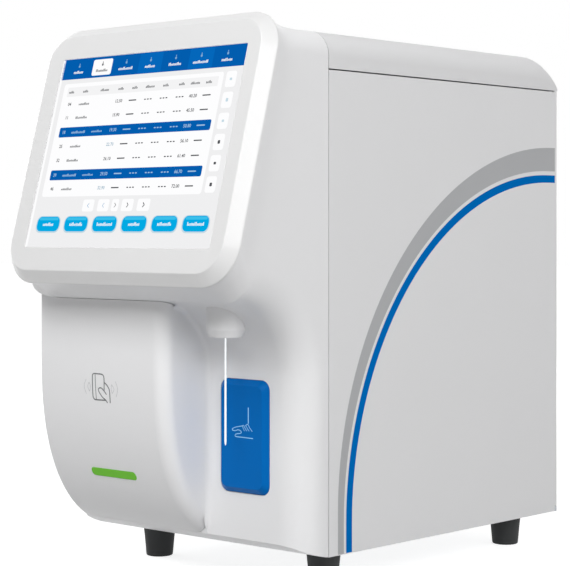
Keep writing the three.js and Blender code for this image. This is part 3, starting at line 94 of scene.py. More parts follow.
class Num:
    """A number on the surface. Its operators add Math nodes."""

    def __init__(self, tree: bpy.types.NodeTree, socket: bpy.types.NodeSocket) -> None:
        """Wraps a socket of a tree."""
        self.tree = tree
        self.socket = socket

    def _math(self, operation: str, *operands: "Num | float") -> "Num":
        """Adds a Math node.

        Args:
            operation: The Math node's operation.
            operands: Numbers or wrapped sockets, in the node's order.

        Returns:
            The node's result.
        """
        node = self.tree.nodes.new("ShaderNodeMath")
        node.operation = operation
        for slot, operand in zip(node.inputs, operands):
            if isinstance(operand, Num):
                self.tree.links.new(operand.socket, slot)
            else:
                slot.default_value = operand
        return Num(self.tree, node.outputs[0])

    def __add__(self, other: "Num | float") -> "Num":
        """Adds."""
        return self._math("ADD", self, other)

    __radd__ = __add__

    def __sub__(self, other: "Num | float") -> "Num":
        """Takes away."""
        return self._math("SUBTRACT", self, other)

    def __rsub__(self, other: "Num | float") -> "Num":
        """Is taken away."""
        return self._math("SUBTRACT", other, self)

    def __mul__(self, other: "Num | float") -> "Num":
        """Multiplies."""
        return self._math("MULTIPLY", self, other)

    __rmul__ = __mul__

    def wave(self, pitch: float) -> "Num":
        """Rises and falls between 0 and 1 with a pitch."""
        return self._math("SINE", self * (2 * math.pi / pitch)) * 0.5 + 0.5

    def above(self, limit: "Num | float") -> "Num":
        """Says 1 above a limit."""
        return self._math("GREATER_THAN", self, limit)

    def capped(self, limit: float) -> "Num":
        """Never rises past a limit."""
        return self._math("MINIMUM", self, limit)


class Graph:
    """The nodes of one material, round a Principled BSDF."""

    def __init__(self, name: str) -> None:
        """Starts a material with a bare shader."""
        self.material = bpy.data.materials.new(name)
        self.material.use_nodes = True
        self.tree = self.material.node_tree
        self.shader = self.tree.nodes["Principled BSDF"]

    def node(self, kind: str, settings: dict[str, object] | None = None, **inputs: object) -> bpy.types.Node:
        """Adds any node.

        Args:
            kind: The node's type.
            settings: The node's own properties, set first.
            inputs: Values, sockets or wrapped numbers, by input name with spaces as underscores.

        Returns:
            The node.
        """
        made = self.tree.nodes.new(kind)
        for key, value in (settings or {}).items():
            setattr(made, key, value)
        for key, value in inputs.items():
            self.feed(made.inputs[key.replace("_", " ")], value)
        return made

    def feed(self, slot: bpy.types.NodeSocket, value: object) -> None:
        """Sets a socket to a value, or links it."""
        if isinstance(value, Num):
            self.tree.links.new(value.socket, slot)
        elif isinstance(value, bpy.types.NodeSocket):
            self.tree.links.new(value, slot)
        else:
            slot.default_value = value

    def place(self) -> tuple[Num, Num, Num]:
        """Gives the place on the object, in millimetres from the frame's origin."""
        coordinates = self.node("ShaderNodeTexCoord").outputs["Object"]
        split = self.node("ShaderNodeSeparateXYZ", Vector=coordinates)
        return tuple(Num(self.tree, output) * (1 / MM) for output in split.outputs)

    def noise(self, size: float, detail: float = 2.0, stretch: Point = (1.0, 1.0, 1.0)) -> Num:
        """Adds noise.

        Args:
            size: The size of its grains, in millimetres.
            detail: The noise's detail.
            stretch: How much finer it is along each axis.

        Returns:
            A number from 0 to 1.
        """
        coordinates = self.node("ShaderNodeTexCoord").outputs["Object"]
        mapped = self.node("ShaderNodeMapping", Vector=coordinates, Scale=stretch).outputs["Vector"]
        made = self.node("ShaderNodeTexNoise", Vector=mapped, Scale=1 / (size * MM), Detail=detail)
        return Num(self.tree, made.outputs[0])

    def mix(self, share: Num | float, first: object, second: object) -> bpy.types.NodeSocket:
        """Mixes two colours, and gives the second where the share is 1."""
        made = self.node("ShaderNodeMix", {"data_type": "RGBA"})
        self.feed(made.inputs["Factor"], share)
        self.feed(made.inputs["A"], first)
        self.feed(made.inputs["B"], second)
        return made.outputs["Result"]

    def bump(self, height: Num, depth: float) -> None:
        """Raises the surface by a height from 0 to 1 times a depth in millimetres."""
        made = self.node("ShaderNodeBump", Height=height, Distance=depth * MM)
        self.feed(self.shader.inputs["Normal"], made.outputs["Normal"])

    def surface(self, **inputs: object) -> None:
        """Feeds the shader's own sockets."""
        for key, value in inputs.items():
            self.feed(self.shader.inputs[key.replace("_", " ")], value)


def colour(red: int, green: int, blue: int) -> tuple[float, float, float, float]:
    """Turns 8-bit screen values into a linear colour."""

    def linear(value: int) -> float:
        """Takes one channel out of its screen curve."""
        share = value / 255
        return share / 12.92 if share <= 0.04045 else ((share + 0.055) / 1.055) ** 2.4

    return (linear(red), linear(green), linear(blue), 1.0)


def shade(tone: Sequence[float], share: float) -> tuple[float, ...]:
    """Makes a linear colour darker or lighter by a share, up to full brightness."""
    return (*(min(channel * share, 1.0) for channel in tone[:3]), 1.0)


Tint = tuple[int, int, int]


class Coating(Protocol):
    """Anything that can give a material."""

    def material(self) -> bpy.types.Material:
        """Builds the material once."""


@dataclass(frozen=True)
class Moulding:
    """Moulded plastic or rubber with a fine grain and a little unevenness, sizes in millimetres."""

    name: str
    tint: Tint
    roughness: float
    grain: float = 0.5
    relief: float = 0.01
    uneven: float = 0.03
    shine: float = 0.5
    cloud: float = 70.0
    cloud_gloss: float = 0.08
    grain_gloss: float = 0.06

    @lru_cache(maxsize=None)
    def material(self) -> bpy.types.Material:
        """Builds the material once."""
        graph = Graph(self.name)
        cloud = graph.noise(self.cloud, 3.0)
        grain = graph.noise(self.grain, 2.0)
        base = colour(*self.tint)
        roughness = self.roughness + (cloud - 0.5) * self.cloud_gloss + (grain - 0.5) * self.grain_gloss
        graph.surface(Base_Color=graph.mix(cloud, base, shade(base, 1 - self.uneven)), Roughness=roughness,
                      Specular_IOR_Level=self.shine)
        graph.bump(grain, self.relief)
        return graph.material


@dataclass(frozen=True)
class SheetMetal:
    """Zinc-plated or painted sheet with a rolled direction."""

    name: str
    tint: Tint
    roughness: float = 0.38
    metallic: float = 0.85
    rolled: Point = (1.0, 1.0, 12.0)
    streak: float = 6.0
    spangle: float = 14.0
    spangle_tone: float = 0.82
    relief: float = 0.01

    @lru_cache(maxsize=None)
    def material(self) -> bpy.types.Material:
        """Builds the material once."""
        graph = Graph(self.name)
        streak = graph.noise(self.streak, 4.0, self.rolled)
        spangle = graph.noise(self.spangle, 1.0)
        base = colour(*self.tint)
        graph.surface(Base_Color=graph.mix(spangle, base, shade(base, self.spangle_tone)), Metallic=self.metallic,
                      Roughness=self.roughness + (streak - 0.5) * 0.18)
        graph.bump(streak, self.relief)
        return graph.material


@dataclass(frozen=True)
class Turned:
    """Machined metal with fine turning marks."""

    name: str
    tint: Tint
    roughness: float = 0.22
    pitch: float = 0.35
    smear: float = 3.0
    smear_tone: float = 0.9
    relief: float = 0.004

    @lru_cache(maxsize=None)
    def material(self) -> bpy.types.Material:
        """Builds the material once."""
        graph = Graph(self.name)
        _, along, up = graph.place()
        marks = (along + up).wave(self.pitch)
        smear = graph.noise(self.smear, 3.0)
        base = colour(*self.tint)
        graph.surface(Base_Color=graph.mix(smear, base, shade(base, self.smear_tone)), Metallic=1.0,
                      Roughness=self.roughness + marks * 0.05 + (smear - 0.5) * 0.1)
        graph.bump(marks, self.relief)
        return graph.material


@dataclass(frozen=True)
class Board:
    """A circuit board: solder mask with copper lanes that show through it."""

    name: str
    tint: Tint
    lane: float = 4.0
    patch: float = 22.0
    copper_tone: float = 1.7
    relief: float = 0.03

    @lru_cache(maxsize=None)
    def material(self) -> bpy.types.Material:
        """Builds the material once."""
        graph = Graph(self.name)
        across, along, up = graph.place()
        lanes = (along * 0.5 + across).wave(self.lane).above(0.72)
        rows = up.wave(self.lane * 1.3).above(0.8)
        patch = graph.noise(self.patch, 1.0).above(0.52)
        copper = lanes * patch + rows * (1 - patch)
        base = colour(*self.tint)
        graph.surface(Base_Color=graph.mix(copper, base, shade(base, self.copper_tone)),
                      Roughness=0.42 - copper * 0.1, Coat_Weight=0.3)
        graph.bump(copper, self.relief)
        return graph.material


@dataclass(frozen=True)
class Clear:
    """Clear plastic with a little haze."""

    name: str
    tint: Tint
    alpha: float = 0.45
    roughness: float = 0.08
    haze: float = 9.0

    @lru_cache(maxsize=None)
    def material(self) -> bpy.types.Material:
        """Builds the material once."""
        graph = Graph(self.name)
        haze = graph.noise(self.haze, 3.0)
        graph.surface(Base_Color=colour(*self.tint), Alpha=self.alpha + haze * 0.12,
                      Roughness=self.roughness + haze * 0.06)
        return graph.material


@dataclass(frozen=True)
class Lit:
    """A surface that shines by itself, such as a screen or a lamp's lens."""

    name: str
    tint: Tint
    strength: float = 0.9
    unlit: float = 0.03
    cell: float = 0.6
    cell_tone: float = 0.97

    @lru_cache(maxsize=None)
    def material(self) -> bpy.types.Material:
        """Builds the material once."""
        graph = Graph(self.name)
        cells = graph.noise(self.cell, 1.0)
        glow = colour(*self.tint)
        graph.surface(Base_Color=shade(glow, self.unlit), Roughness=0.3 + cells * 0.04, Specular_IOR_Level=0.0,
                      Emission_Color=graph.mix(cells, glow, shade(glow, self.cell_tone)),
                      Emission_Strength=self.strength)
        return graph.material


class Finish:
    """Every finish of the instrument."""

    CASING = Moulding("casing_white", (235, 235, 236), 0.36, 0.45, 0.006, 0.012, 0.3)
    LID = Moulding("lid_white", (226, 226, 227), 0.52, 0.45, 0.006, 0.012, 0.06)
    BEZEL = Moulding("bezel_white", (226, 226, 226), 0.32, 0.4, 0.004, 0.008, 0.6)
    PANEL = Moulding("panel_grey", (226, 226, 227), 0.42, 0.6, 0.01, 0.015)
    KEY = Moulding("key_blue", (1, 105, 186), 0.34, 0.35, 0.006, 0.03, 0.05)
    STRIPE_BLUE = Moulding("stripe_blue", (1, 110, 192), 0.5, 0.6, 0.004, 0.03, 0.0)
    STRIPE_GREY = Moulding("stripe_grey", (178, 179, 181), 0.5, 0.6, 0.004, 0.04, 0.2)
    RUBBER = Moulding("foot_rubber", (34, 36, 37), 0.72, 0.8, 0.03, 0.12)
    BLACK = Moulding("black_moulding", (30, 31, 33), 0.48, 0.5, 0.015, 0.1)
    DARK_GREY = Moulding("dark_grey_moulding", (62, 64, 67), 0.5, 0.5, 0.015, 0.08)
    NATURAL = Moulding("natural_plastic", (232, 230, 222), 0.34, 0.5, 0.008, 0.03)
    INK_GREY = Moulding("ink_grey", (118, 119, 121), 0.5, 0.5, 0.002, 0.02, 0.2)
    INK_PALE = Moulding("ink_pale", (196, 197, 199), 0.5, 0.5, 0.002, 0.02, 0.2)
    INK_WHITE = Moulding("ink_white", (150, 212, 252), 0.5, 0.5, 0.002, 0.02, 0.2)
    ZINC = SheetMetal("zinc_sheet", (178, 182, 186))
    REAR = SheetMetal("rear_sheet", (196, 198, 201), 0.45, 0.2)
    STEEL = Turned("bright_steel", (205, 207, 210), 0.2)
    NEEDLE = Turned("needle_steel", (236, 238, 240), 0.12, 0.8)
    BRASS = Turned("machined_brass", (200, 162, 84), 0.28)
    BOARD = Board("solder_mask", (26, 96, 66))
    CLEAR = Clear("clear_acrylic", (214, 228, 236), 0.4)
    LAMP = Lit("lamp_green", (112, 186, 66), 0.5, 0.5)
    SCREEN_GROUND = Lit("screen_ground", (241, 241, 242), 0.97)
    SCREEN_WHITE = Lit("screen_white", (254, 254, 255), 0.98)
    SCREEN_BAND = Lit("screen_band", (246, 246, 247), 0.96)
    SCREEN_BLUE = Lit("screen_blue", (2, 94, 176), 0.96)
    SCREEN_TAB = Lit("screen_tab", (4, 104, 188), 0.96)
    SCREEN_FAINT = Lit("screen_faint", (132, 178, 216), 0.92)
    SCREEN_CYAN = Lit("screen_cyan", (2, 172, 230), 0.96)
    SCREEN_SKY = Lit("screen_sky", (60, 194, 238), 0.96)
    SCREEN_MIST = Lit("screen_mist", (164, 200, 232), 0.92)
    SCREEN_HALO = Lit("screen_halo", (206, 228, 238), 0.9)
    SCREEN_INK = Lit("screen_ink", (88, 90, 94), 0.85)
    SCREEN_PALE_INK = Lit("screen_pale_ink", (168, 196, 214), 0.85)


# Mesh toolkit


def shifted(points: Sequence[Flat], across: float, up: float) -> list[Flat]:
    """Moves an outline."""
    return [(a + across, b + up) for a, b in points]


def rounded(width: float, height: float, corner: float, top_corner: float | None = None,
            steps: int = 8) -> list[Flat]:
    """Gives a rounded rectangle about the origin, anticlockwise.

    Args:
        width: Its full width.
        height: Its full height.
        corner: The radius of its lower corners.
        top_corner: The radius of its upper corners, where it differs.
        steps: The chords of each corner.

    Returns:
        Its points.
    """
    upper = corner if top_corner is None else top_corner
    right, top = width / 2, height / 2
    centres = [(right - corner, corner - top, corner), (right - upper, top - upper, upper),
               (upper - right, top - upper, upper), (corner - right, corner - top, corner)]
    points = []
    for quarter, (across, up, radius) in enumerate(centres):
        for step in range(steps + 1):
            angle = (quarter - 1 + step / steps) * math.pi / 2
            points.append((across + radius * math.cos(angle), up + radius * math.sin(angle)))
    return points


def smooth_path(points: Sequence[Flat], steps: int = 6) -> list[Flat]:
    """Runs a smooth curve through points.

    Args:
        points: The points that it passes.
        steps: The chords between two of them.

    Returns:
        The points of the curve.
    """
    ends = [points[0], *points, points[-1]]
    curve = []
    for before, start, end, after in zip(ends, ends[1:], ends[2:], ends[3:]):
        for step in range(steps):
            share = step / steps
            curve.append(tuple(
                0.5 * (2 * s + (e - b) * share + (2 * b - 5 * s + 4 * e - a) * share ** 2
                       + (3 * s - b - 3 * e + a) * share ** 3)
                for b, s, e, a in zip(before, start, end, after)))
    return [*curve, points[-1]]


class Shape:
    """A mesh in the making, in the body's own millimetres."""

    def __init__(self) -> None:
        """Starts empty."""
        self.mesh = bmesh.new()

    def skin(self, rings: Sequence[Sequence[Point]], capped: bool = True, looped: bool = False) -> "Shape":
        """Covers rings of equal count with quads.

        Args:
            rings: The rings, each turning the same way.
            capped: Whether the first and last rings are closed by a face.
            looped: Whether the last ring joins the first.

        Returns:
            This shape.
        """
        rows = [[self.mesh.verts.new(placed(point)) for point in ring] for ring in rings]
        count = len(rows[0])
        pairs = list(zip(rows, rows[1:]))
        if looped:
            pairs.append((rows[-1], rows[0]))
        for first, second in pairs:
            for spot in range(count):
                after = (spot + 1) % count
                self.mesh.faces.new((first[spot], first[after], second[after], second[spot]))
        if capped and not looped:
            self.mesh.faces.new(list(reversed(rows[0])))
            self.mesh.faces.new(rows[-1])
        return self

    def strip(self, rows: Sequence[Sequence[Point]]) -> "Shape":
        """Covers open rows of points of equal count with quads."""
        made = [[self.mesh.verts.new(placed(point)) for point in row] for row in rows]
        for first, second in zip(made, made[1:]):
            for spot in range(len(first) - 1):
                self.mesh.faces.new((first[spot], first[spot + 1], second[spot + 1], second[spot]))
        return self

    def prism(self, outline: Sequence[Flat], low: float, high: float, axis: Axis = Axis.Y) -> "Shape":
        """Extrudes an outline along an axis.

        Args:
            outline: Points in the other two coordinates, in their own order.
            low: Where it starts.
            high: Where it ends.
            axis: The axis.

        Returns:
            This shape.
        """
        def lay(level: float) -> Ring:
            """Puts the outline at a level."""
            if axis is Axis.X:
                return [(level, a, b) for a, b in outline]
            if axis is Axis.Y:
                return [(a, level, b) for a, b in outline]
            return [(a, b, level) for a, b in outline]

        return self.skin([lay(low), lay(high)])

    def box(self, low: Point, high: Point) -> "Shape":
        """Adds a block between two corners."""
        outline = [(low[0], low[1]), (high[0], low[1]), (high[0], high[1]), (low[0], high[1])]
        return self.prism(outline, low[2], high[2], Axis.Z)

    def turned(self, steps: Sequence[Flat], centre: Flat, axis: Axis = Axis.Z, sides: int = 48,
               hollow: bool = False) -> "Shape":
        """Turns an outline about an axis.

        Args:
            steps: Pairs of radius and place along the axis.
            centre: The axis's place in the other two coordinates, in their own order.
            axis: The axis.
            sides: The chords of a turn.
            hollow: Whether the outline closes on itself, off the axis.

        Returns:
            This shape.
        """
        def ring(radius: float, level: float) -> Ring:
            """Makes one circle."""
            points = []
            for side in range(sides):
                angle = 2 * math.pi * side / sides
                first = centre[0] + radius * math.cos(angle)
                second = centre[1] + radius * math.sin(angle)
                points.append({Axis.X: (level, first, second), Axis.Y: (first, level, second),
                               Axis.Z: (first, second, level)}[axis])
            return points

        return self.skin([ring(radius, level) for radius, level in steps], looped=hollow)

    def tube(self, path: Sequence[Point], radius: float, sides: int = 12) -> "Shape":
        """Runs a round bar along a path.

        Args:
            path: The points of its middle line.
            radius: Its radius.
            sides: The chords of a turn.

        Returns:
            This shape.
        """
        spine = [Vector(point) for point in path]
        rings = []
        side = Vector((0, 0, 1)) if abs((spine[1] - spine[0]).normalized().z) < 0.9 else Vector((1, 0, 0))
        for spot, point in enumerate(spine):
            ahead = spine[min(spot + 1, len(spine) - 1)] - spine[max(spot - 1, 0)]
            ahead.normalize()
            side = (side - ahead * side.dot(ahead)).normalized()
            other = ahead.cross(side)
            rings.append([tuple(point + radius * (side * math.cos(turn) + other * math.sin(turn)))
                          for turn in (2 * math.pi * step / sides for step in range(sides))])
        return self.skin(rings)

    def polygon(self, points: Sequence[Point]) -> "Shape":
        """Adds one flat face."""
        self.mesh.faces.new([self.mesh.verts.new(placed(point)) for point in points])
        return self

    def body(self, name: str = "tool") -> bpy.types.Object:
        """Makes an object, with its faces pointing outwards."""
        bmesh.ops.recalc_face_normals(self.mesh, faces=self.mesh.faces)
        data = bpy.data.meshes.new(name)
        self.mesh.to_mesh(data)
        self.mesh.free()
        made = bpy.data.objects.new(name, data)
        bpy.context.scene.collection.objects.link(made)
        return made


def evaluated(source: bpy.types.Object) -> bpy.types.Mesh:
    """Gives an object's mesh with its modifiers applied."""
    bpy.context.view_layer.update()
    graph = bpy.context.evaluated_depsgraph_get()
    return bpy.data.meshes.new_from_object(source.evaluated_get(graph))


def dropped(*tools: bpy.types.Object) -> None:
    """Removes helper objects."""
    for tool in tools:
        bpy.data.objects.remove(tool, do_unlink=True)


def applied(source: bpy.types.Object) -> bpy.types.Object:
    """Applies an object's modifiers to its own mesh."""
    data = evaluated(source)
    source.modifiers.clear()
    source.data = data
    return source


def carved(base: bpy.types.Object, tools: Sequence[bpy.types.Object],
           operation: Operation = Operation.CUT) -> bpy.types.Object:
    """Changes a solid by others.

    Args:
        base: The solid.
        tools: The others, which are removed.
        operation: What they do to it.

    Returns:
        The solid.
    """
    for tool in tools:
        step = base.modifiers.new("carve", "BOOLEAN")
        step.operation = operation.value
        step.solver = "EXACT"
        step.object = tool
    applied(base)
    dropped(*tools)
    return base


@dataclass
class Dress:
    """How a finished piece is named, shaded and tied to the frame."""

    name: str
    finish: Coating
    slot: str
    body: str = CHASSIS
    replaces: tuple[str, ...] = ()
    bevel: float = 0.0
    segments: int = 2
    bevel_angle: float = 50.0
    sharp: float = 32.0

    def put_on(self, piece: bpy.types.Object) -> bpy.types.Object:
        """Finishes an object as a piece of the instrument.

        Args:
            piece: An object with a plain mesh.

        Returns:
            The same object.
        """
        piece.name = self.name
        weld = piece.modifiers.new("weld", "WELD")
        weld.merge_threshold = 0.002 * MM
        if self.bevel:
            edge = piece.modifiers.new("edge", "BEVEL")
            edge.width = self.bevel * MM
            edge.segments = self.segments
            edge.limit_method = "ANGLE"
            edge.angle_limit = math.radians(self.bevel_angle)
            edge.harden_normals = False
        applied(piece)
        piece.data.shade_smooth()
        piece.data.set_sharp_from_angle(angle=math.radians(self.sharp))
        weighted = piece.modifiers.new("weighted", "WEIGHTED_NORMAL")
        weighted.keep_sharp = True
        applied(piece)
        piece.data.materials.clear()
        piece.data.materials.append(self.finish.material())
        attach(piece, self.body)
        if self.replaces:
            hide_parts(*self.replaces)
        LOG.info("%s: %d faces", self.name, len(piece.data.polygons))
        return piece


def node_copy(node: str) -> bpy.types.Object:
    """Copies a CAD node as a merged mesh of its own."""
    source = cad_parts[node]
    made = bpy.data.objects.new(node + "_copy", source.data.copy())
    bpy.context.scene.collection.objects.link(made)
    made.data.materials.clear()
    work = bmesh.new()
    work.from_mesh(made.data)
    bmesh.ops.remove_doubles(work, verts=work.verts, dist=0.001 * MM)
    bmesh.ops.dissolve_limit(work, angle_limit=math.radians(1.0), verts=work.verts, edges=work.edges)
    work.to_mesh(made.data)
    work.free()
    return made


def refined(node: str, finish: Coating, slot: str, bevel: float = 0.4, body: str = CHASSIS,
            sharp: float = 40.0) -> bpy.types.Object:
    """Shows a CAD node with softened edges.

    Args:
        node: The node.
        finish: Its finish.
        slot: The record's material slot, which is not used.
        bevel: The width of its softened edges, in millimetres.
        body: The body that it rides on.
        sharp: The angle past which an edge stays sharp.

    Returns:
        The new piece.
    """
    dress = Dress(node + "_looks", finish, slot, body, (node,), bevel, bevel_angle=60.0, sharp=sharp)
    return dress.put_on(node_copy(node))


class Repeat:
    """A Geometry Nodes tree that puts a small solid on every point of a mesh."""

    def __init__(self, name: str) -> None:
        """Builds the tree, with named inputs for the solid's sizes."""
        self.tree = bpy.data.node_groups.new(name, "GeometryNodeTree")
        sockets = self.tree.interface
        sockets.new_socket("Geometry", in_out="INPUT", socket_type="NodeSocketGeometry")
        kinds = {"Radius": "Float", "Height": "Float", "Sides": "Int", "Turn": "Vector", "Stretch": "Vector",
                 "Material": "Material"}
        self.sizes = {name: sockets.new_socket(name, in_out="INPUT", socket_type="NodeSocket" + kind)
                      for name, kind in kinds.items()}
        sockets.new_socket("Geometry", in_out="OUTPUT", socket_type="NodeSocketGeometry")
        nodes = self.tree.nodes
        entry, leave = nodes.new("NodeGroupInput"), nodes.new("NodeGroupOutput")
        solid = nodes.new("GeometryNodeMeshCylinder")
        points = nodes.new("GeometryNodeMeshToPoints")
        spread = nodes.new("GeometryNodeInstanceOnPoints")
        real = nodes.new("GeometryNodeRealizeInstances")
        paint = nodes.new("GeometryNodeSetMaterial")
        for source, output, target, entrance in (
                (entry, "Radius", solid, "Radius"), (entry, "Height", solid, "Depth"),
                (entry, "Sides", solid, "Vertices"), (entry, "Geometry", points, "Mesh"),
                (points, "Points", spread, "Points"), (solid, "Mesh", spread, "Instance"),
                (entry, "Turn", spread, "Rotation"), (entry, "Stretch", spread, "Scale"),
                (spread, "Instances", real, "Geometry"), (real, "Geometry", paint, "Geometry"),
                (entry, "Material", paint, "Material"), (paint, "Geometry", leave, "Geometry")):
            self.tree.links.new(source.outputs[output], target.inputs[entrance])

    def spread(self, points: Sequence[Point], dress: Dress, radius: float, height: float, sides: int = 24,
               turn: Point = (0.0, 0.0, 0.0), stretch: Point = (1.0, 1.0, 1.0)) -> bpy.types.Object:
        """Puts the solid on points.

        Args:
            points: The places of the copies.
            dress: How the piece is finished.
            radius: The solid's radius, in millimetres.
            height: The solid's height, in millimetres.
            sides: Its sides.
            turn: Its turn, in radians about each axis.
            stretch: Its scale along its own axes.

        Returns:
            The piece, as a plain mesh.
        """
        data = bpy.data.meshes.new(dress.name)
        data.from_pydata([placed(point) for point in points], [], [])
        piece = bpy.data.objects.new(dress.name, data)
        bpy.context.scene.collection.objects.link(piece)
        modifier = piece.modifiers.new("repeat", "NODES")
        modifier.node_group = self.tree
        values = {"Radius": radius * MM, "Height": height * MM, "Sides": sides, "Turn": turn,
                  "Stretch": stretch, "Material": dress.finish.material()}
        for name, value in values.items():
            modifier[self.sizes[name].identifier] = value
        return dress.put_on(applied(piece))


# The instrument


@dataclass
class CaseForm:
    """The measures that the front casing, the cover and the lid share."""

    width: float = 290.0
    height: float = 479.0
    lid_seam: float = 443.0
    top_edge: float = 24.0
    reach: float = 36.0
    corner: float = 30.0
    left_corner: float = 4.0
    underside: float = 233.0
    fillet: float = 68.0
    left_run: float = 33.0
    left_rise: float = 12.0
    face_inset: float = 2.5
    foot_inset: float = 1.5
    top_blend: float = 13.0
    face_corner: float = 45.0
    face_top_corner: float = 32.0
    heel: float = 15.0
    belly_reach: float = 95.0
    rise: float = 170.0
    power: float = 2.3
    tilt: float = math.radians(15.2)
    face_reach: float = 131.1
    face_foot: float = 246.5
    face_rise: float = 12.0
    overhang: float = 6.6
    back_gap: float = 0.3
    wall: float = 3.0
    fillet_steps: int = 26
    foot_steps: int = 16

    @property
    def half(self) -> float:
        """Half the width."""
        return self.width / 2

    @property
    def slope(self) -> float:
        """The length of the screen's plane, from its foot to its top."""
        return (self.height + self.face_rise - self.face_foot) / math.cos(self.tilt)

    def face(self, up: float, out: float) -> Flat:
        """Gives the depth and height of a point in the tilted plane of the screen.

        Args:
            up: How far up the slope.
            out: How far behind the bezel's back; less than nothing is in front of it.

        Returns:
            Depth and height.
        """
        sine, cosine = math.sin(self.tilt), math.cos(self.tilt)
        return (-self.face_reach + up * sine + out * cosine, self.face_foot + up * cosine - out * sine)

    def foot(self, depth: float, inset: float = 0.0) -> float:
        """Gives the height of the shared lower curve at a depth."""
        along = min((self.heel - depth) / (self.belly_reach + self.heel - inset), 1.0)
        share = (1 - along ** self.power) ** (1 / self.power)
        return self.rise - (self.rise - inset) * share

    def belly_front(self, height: float, inset: float = 0.0) -> float:
        """Gives the depth of the cover's front at a height."""
        if height >= self.rise:
            return inset - self.belly_reach
        up = ((self.rise - height) / (self.rise - inset)) ** self.power
        reach = (self.belly_reach + self.heel - inset) * max(1 - up, 0.0) ** (1 / self.power)
        return self.heel - reach

    @staticmethod
    def drop(distance: float, run: float, rise: float | None = None) -> float:
        """Says how far a rounded edge has dropped at a distance from the side."""
        if distance >= run:
            return 0.0
        return (run if rise is None else rise) * (1 - math.sqrt(max(1 - ((run - distance) / run) ** 2, 0.0)))

    @staticmethod
    def stations(run: float, count: int) -> list[float]:
        """Spreads distances over a rounded edge, closest where it is steepest."""
        return [run * (1 - math.cos(step * math.pi / 2 / count)) for step in range(count + 1)]

    def hood_top(self, level: float, face: Flat, steps: int = 10) -> list[Flat]:
        """Gives the bend between the level top and the slope square to the screen."""
        steep = math.tan(self.tilt)
        bend = face[0] + (face[1] - level) / steep
        blend = min(self.top_blend, (bend - face[0]) / 2, -bend)
        return [(bend + blend * (1 - 2 * step / steps), level + steep * blend * (step / steps) ** 2)
                for step in range(steps + 1)]

    def casing_ring(self, x: float, distance: float, left: bool, inset: float, back: float) -> Ring:
        """Gives one section of the front casing.

        Args:
            x: Where the section stands.
            distance: Its distance from the nearest side plane.
            left: Whether that side is the left one.
            inset: How far inside the outer skin.
            back: The depth at which it ends.

        Returns:
            The points of the section.
        """
        within = distance - inset

        def drop(run: float, rise: float | None = None) -> float:
            """Rounds an edge of the inset skin."""
            return inset + self.drop(within, run - inset, (run if rise is None else rise) - inset)

        plane = drop(self.left_corner if left else self.corner)
        under = drop(self.left_run, self.left_rise) if left else drop(self.corner)
        top = drop(self.top_edge)
        out = self.back_gap + inset
        front = plane - self.reach
        centre = (-self.reach - self.fillet, self.underside - self.fillet)
        upper = self.face(self.slope - self.face_inset - drop(self.face_top_corner), out)
        ring = [(back, self.foot(0.0) + inset), (back, self.height - top)]
        ring += self.hood_top(self.height - top, upper)
        ring += [upper, self.face(self.foot_inset + drop(self.face_corner), out)]
        for step in range(self.fillet_steps, -1, -1):
            angle = step / self.fillet_steps * math.pi / 2
            radius = self.fillet + plane + (under - plane) * step / self.fillet_steps
            ring.append((centre[0] + radius * math.cos(angle), centre[1] + radius * math.sin(angle)))
        for step in range(self.foot_steps, 0, -1):
            depth = front * step / self.foot_steps
            ring.append((depth, self.foot(depth) + inset))
        return [(x, y, z) for y, z in ring]

    def casing(self, inset: float, back: float, count: int = 18) -> bpy.types.Object:
        """Makes the casing's outer or inner solid."""
        steps = [step + inset for step in self.stations(self.face_corner - inset, count)]
        left = [self.casing_ring(step - self.half, step, True, inset, back) for step in steps]
        right = [self.casing_ring(self.half - step, step, False, inset, back) for step in reversed(steps)]
        return Shape().skin([*left, *right]).body("casing")


def tilted(case: CaseForm, points: Sequence[Flat], out: float) -> Ring:
    """Puts points of the screen's plane, across and up the slope, into the body.

    Args:
        case: The casing's measures.
        points: The points.
        out: How far behind the bezel's back.

    Returns:
        The points in the body.
    """
    return [(across, *case.face(up, out)) for across, up in points]


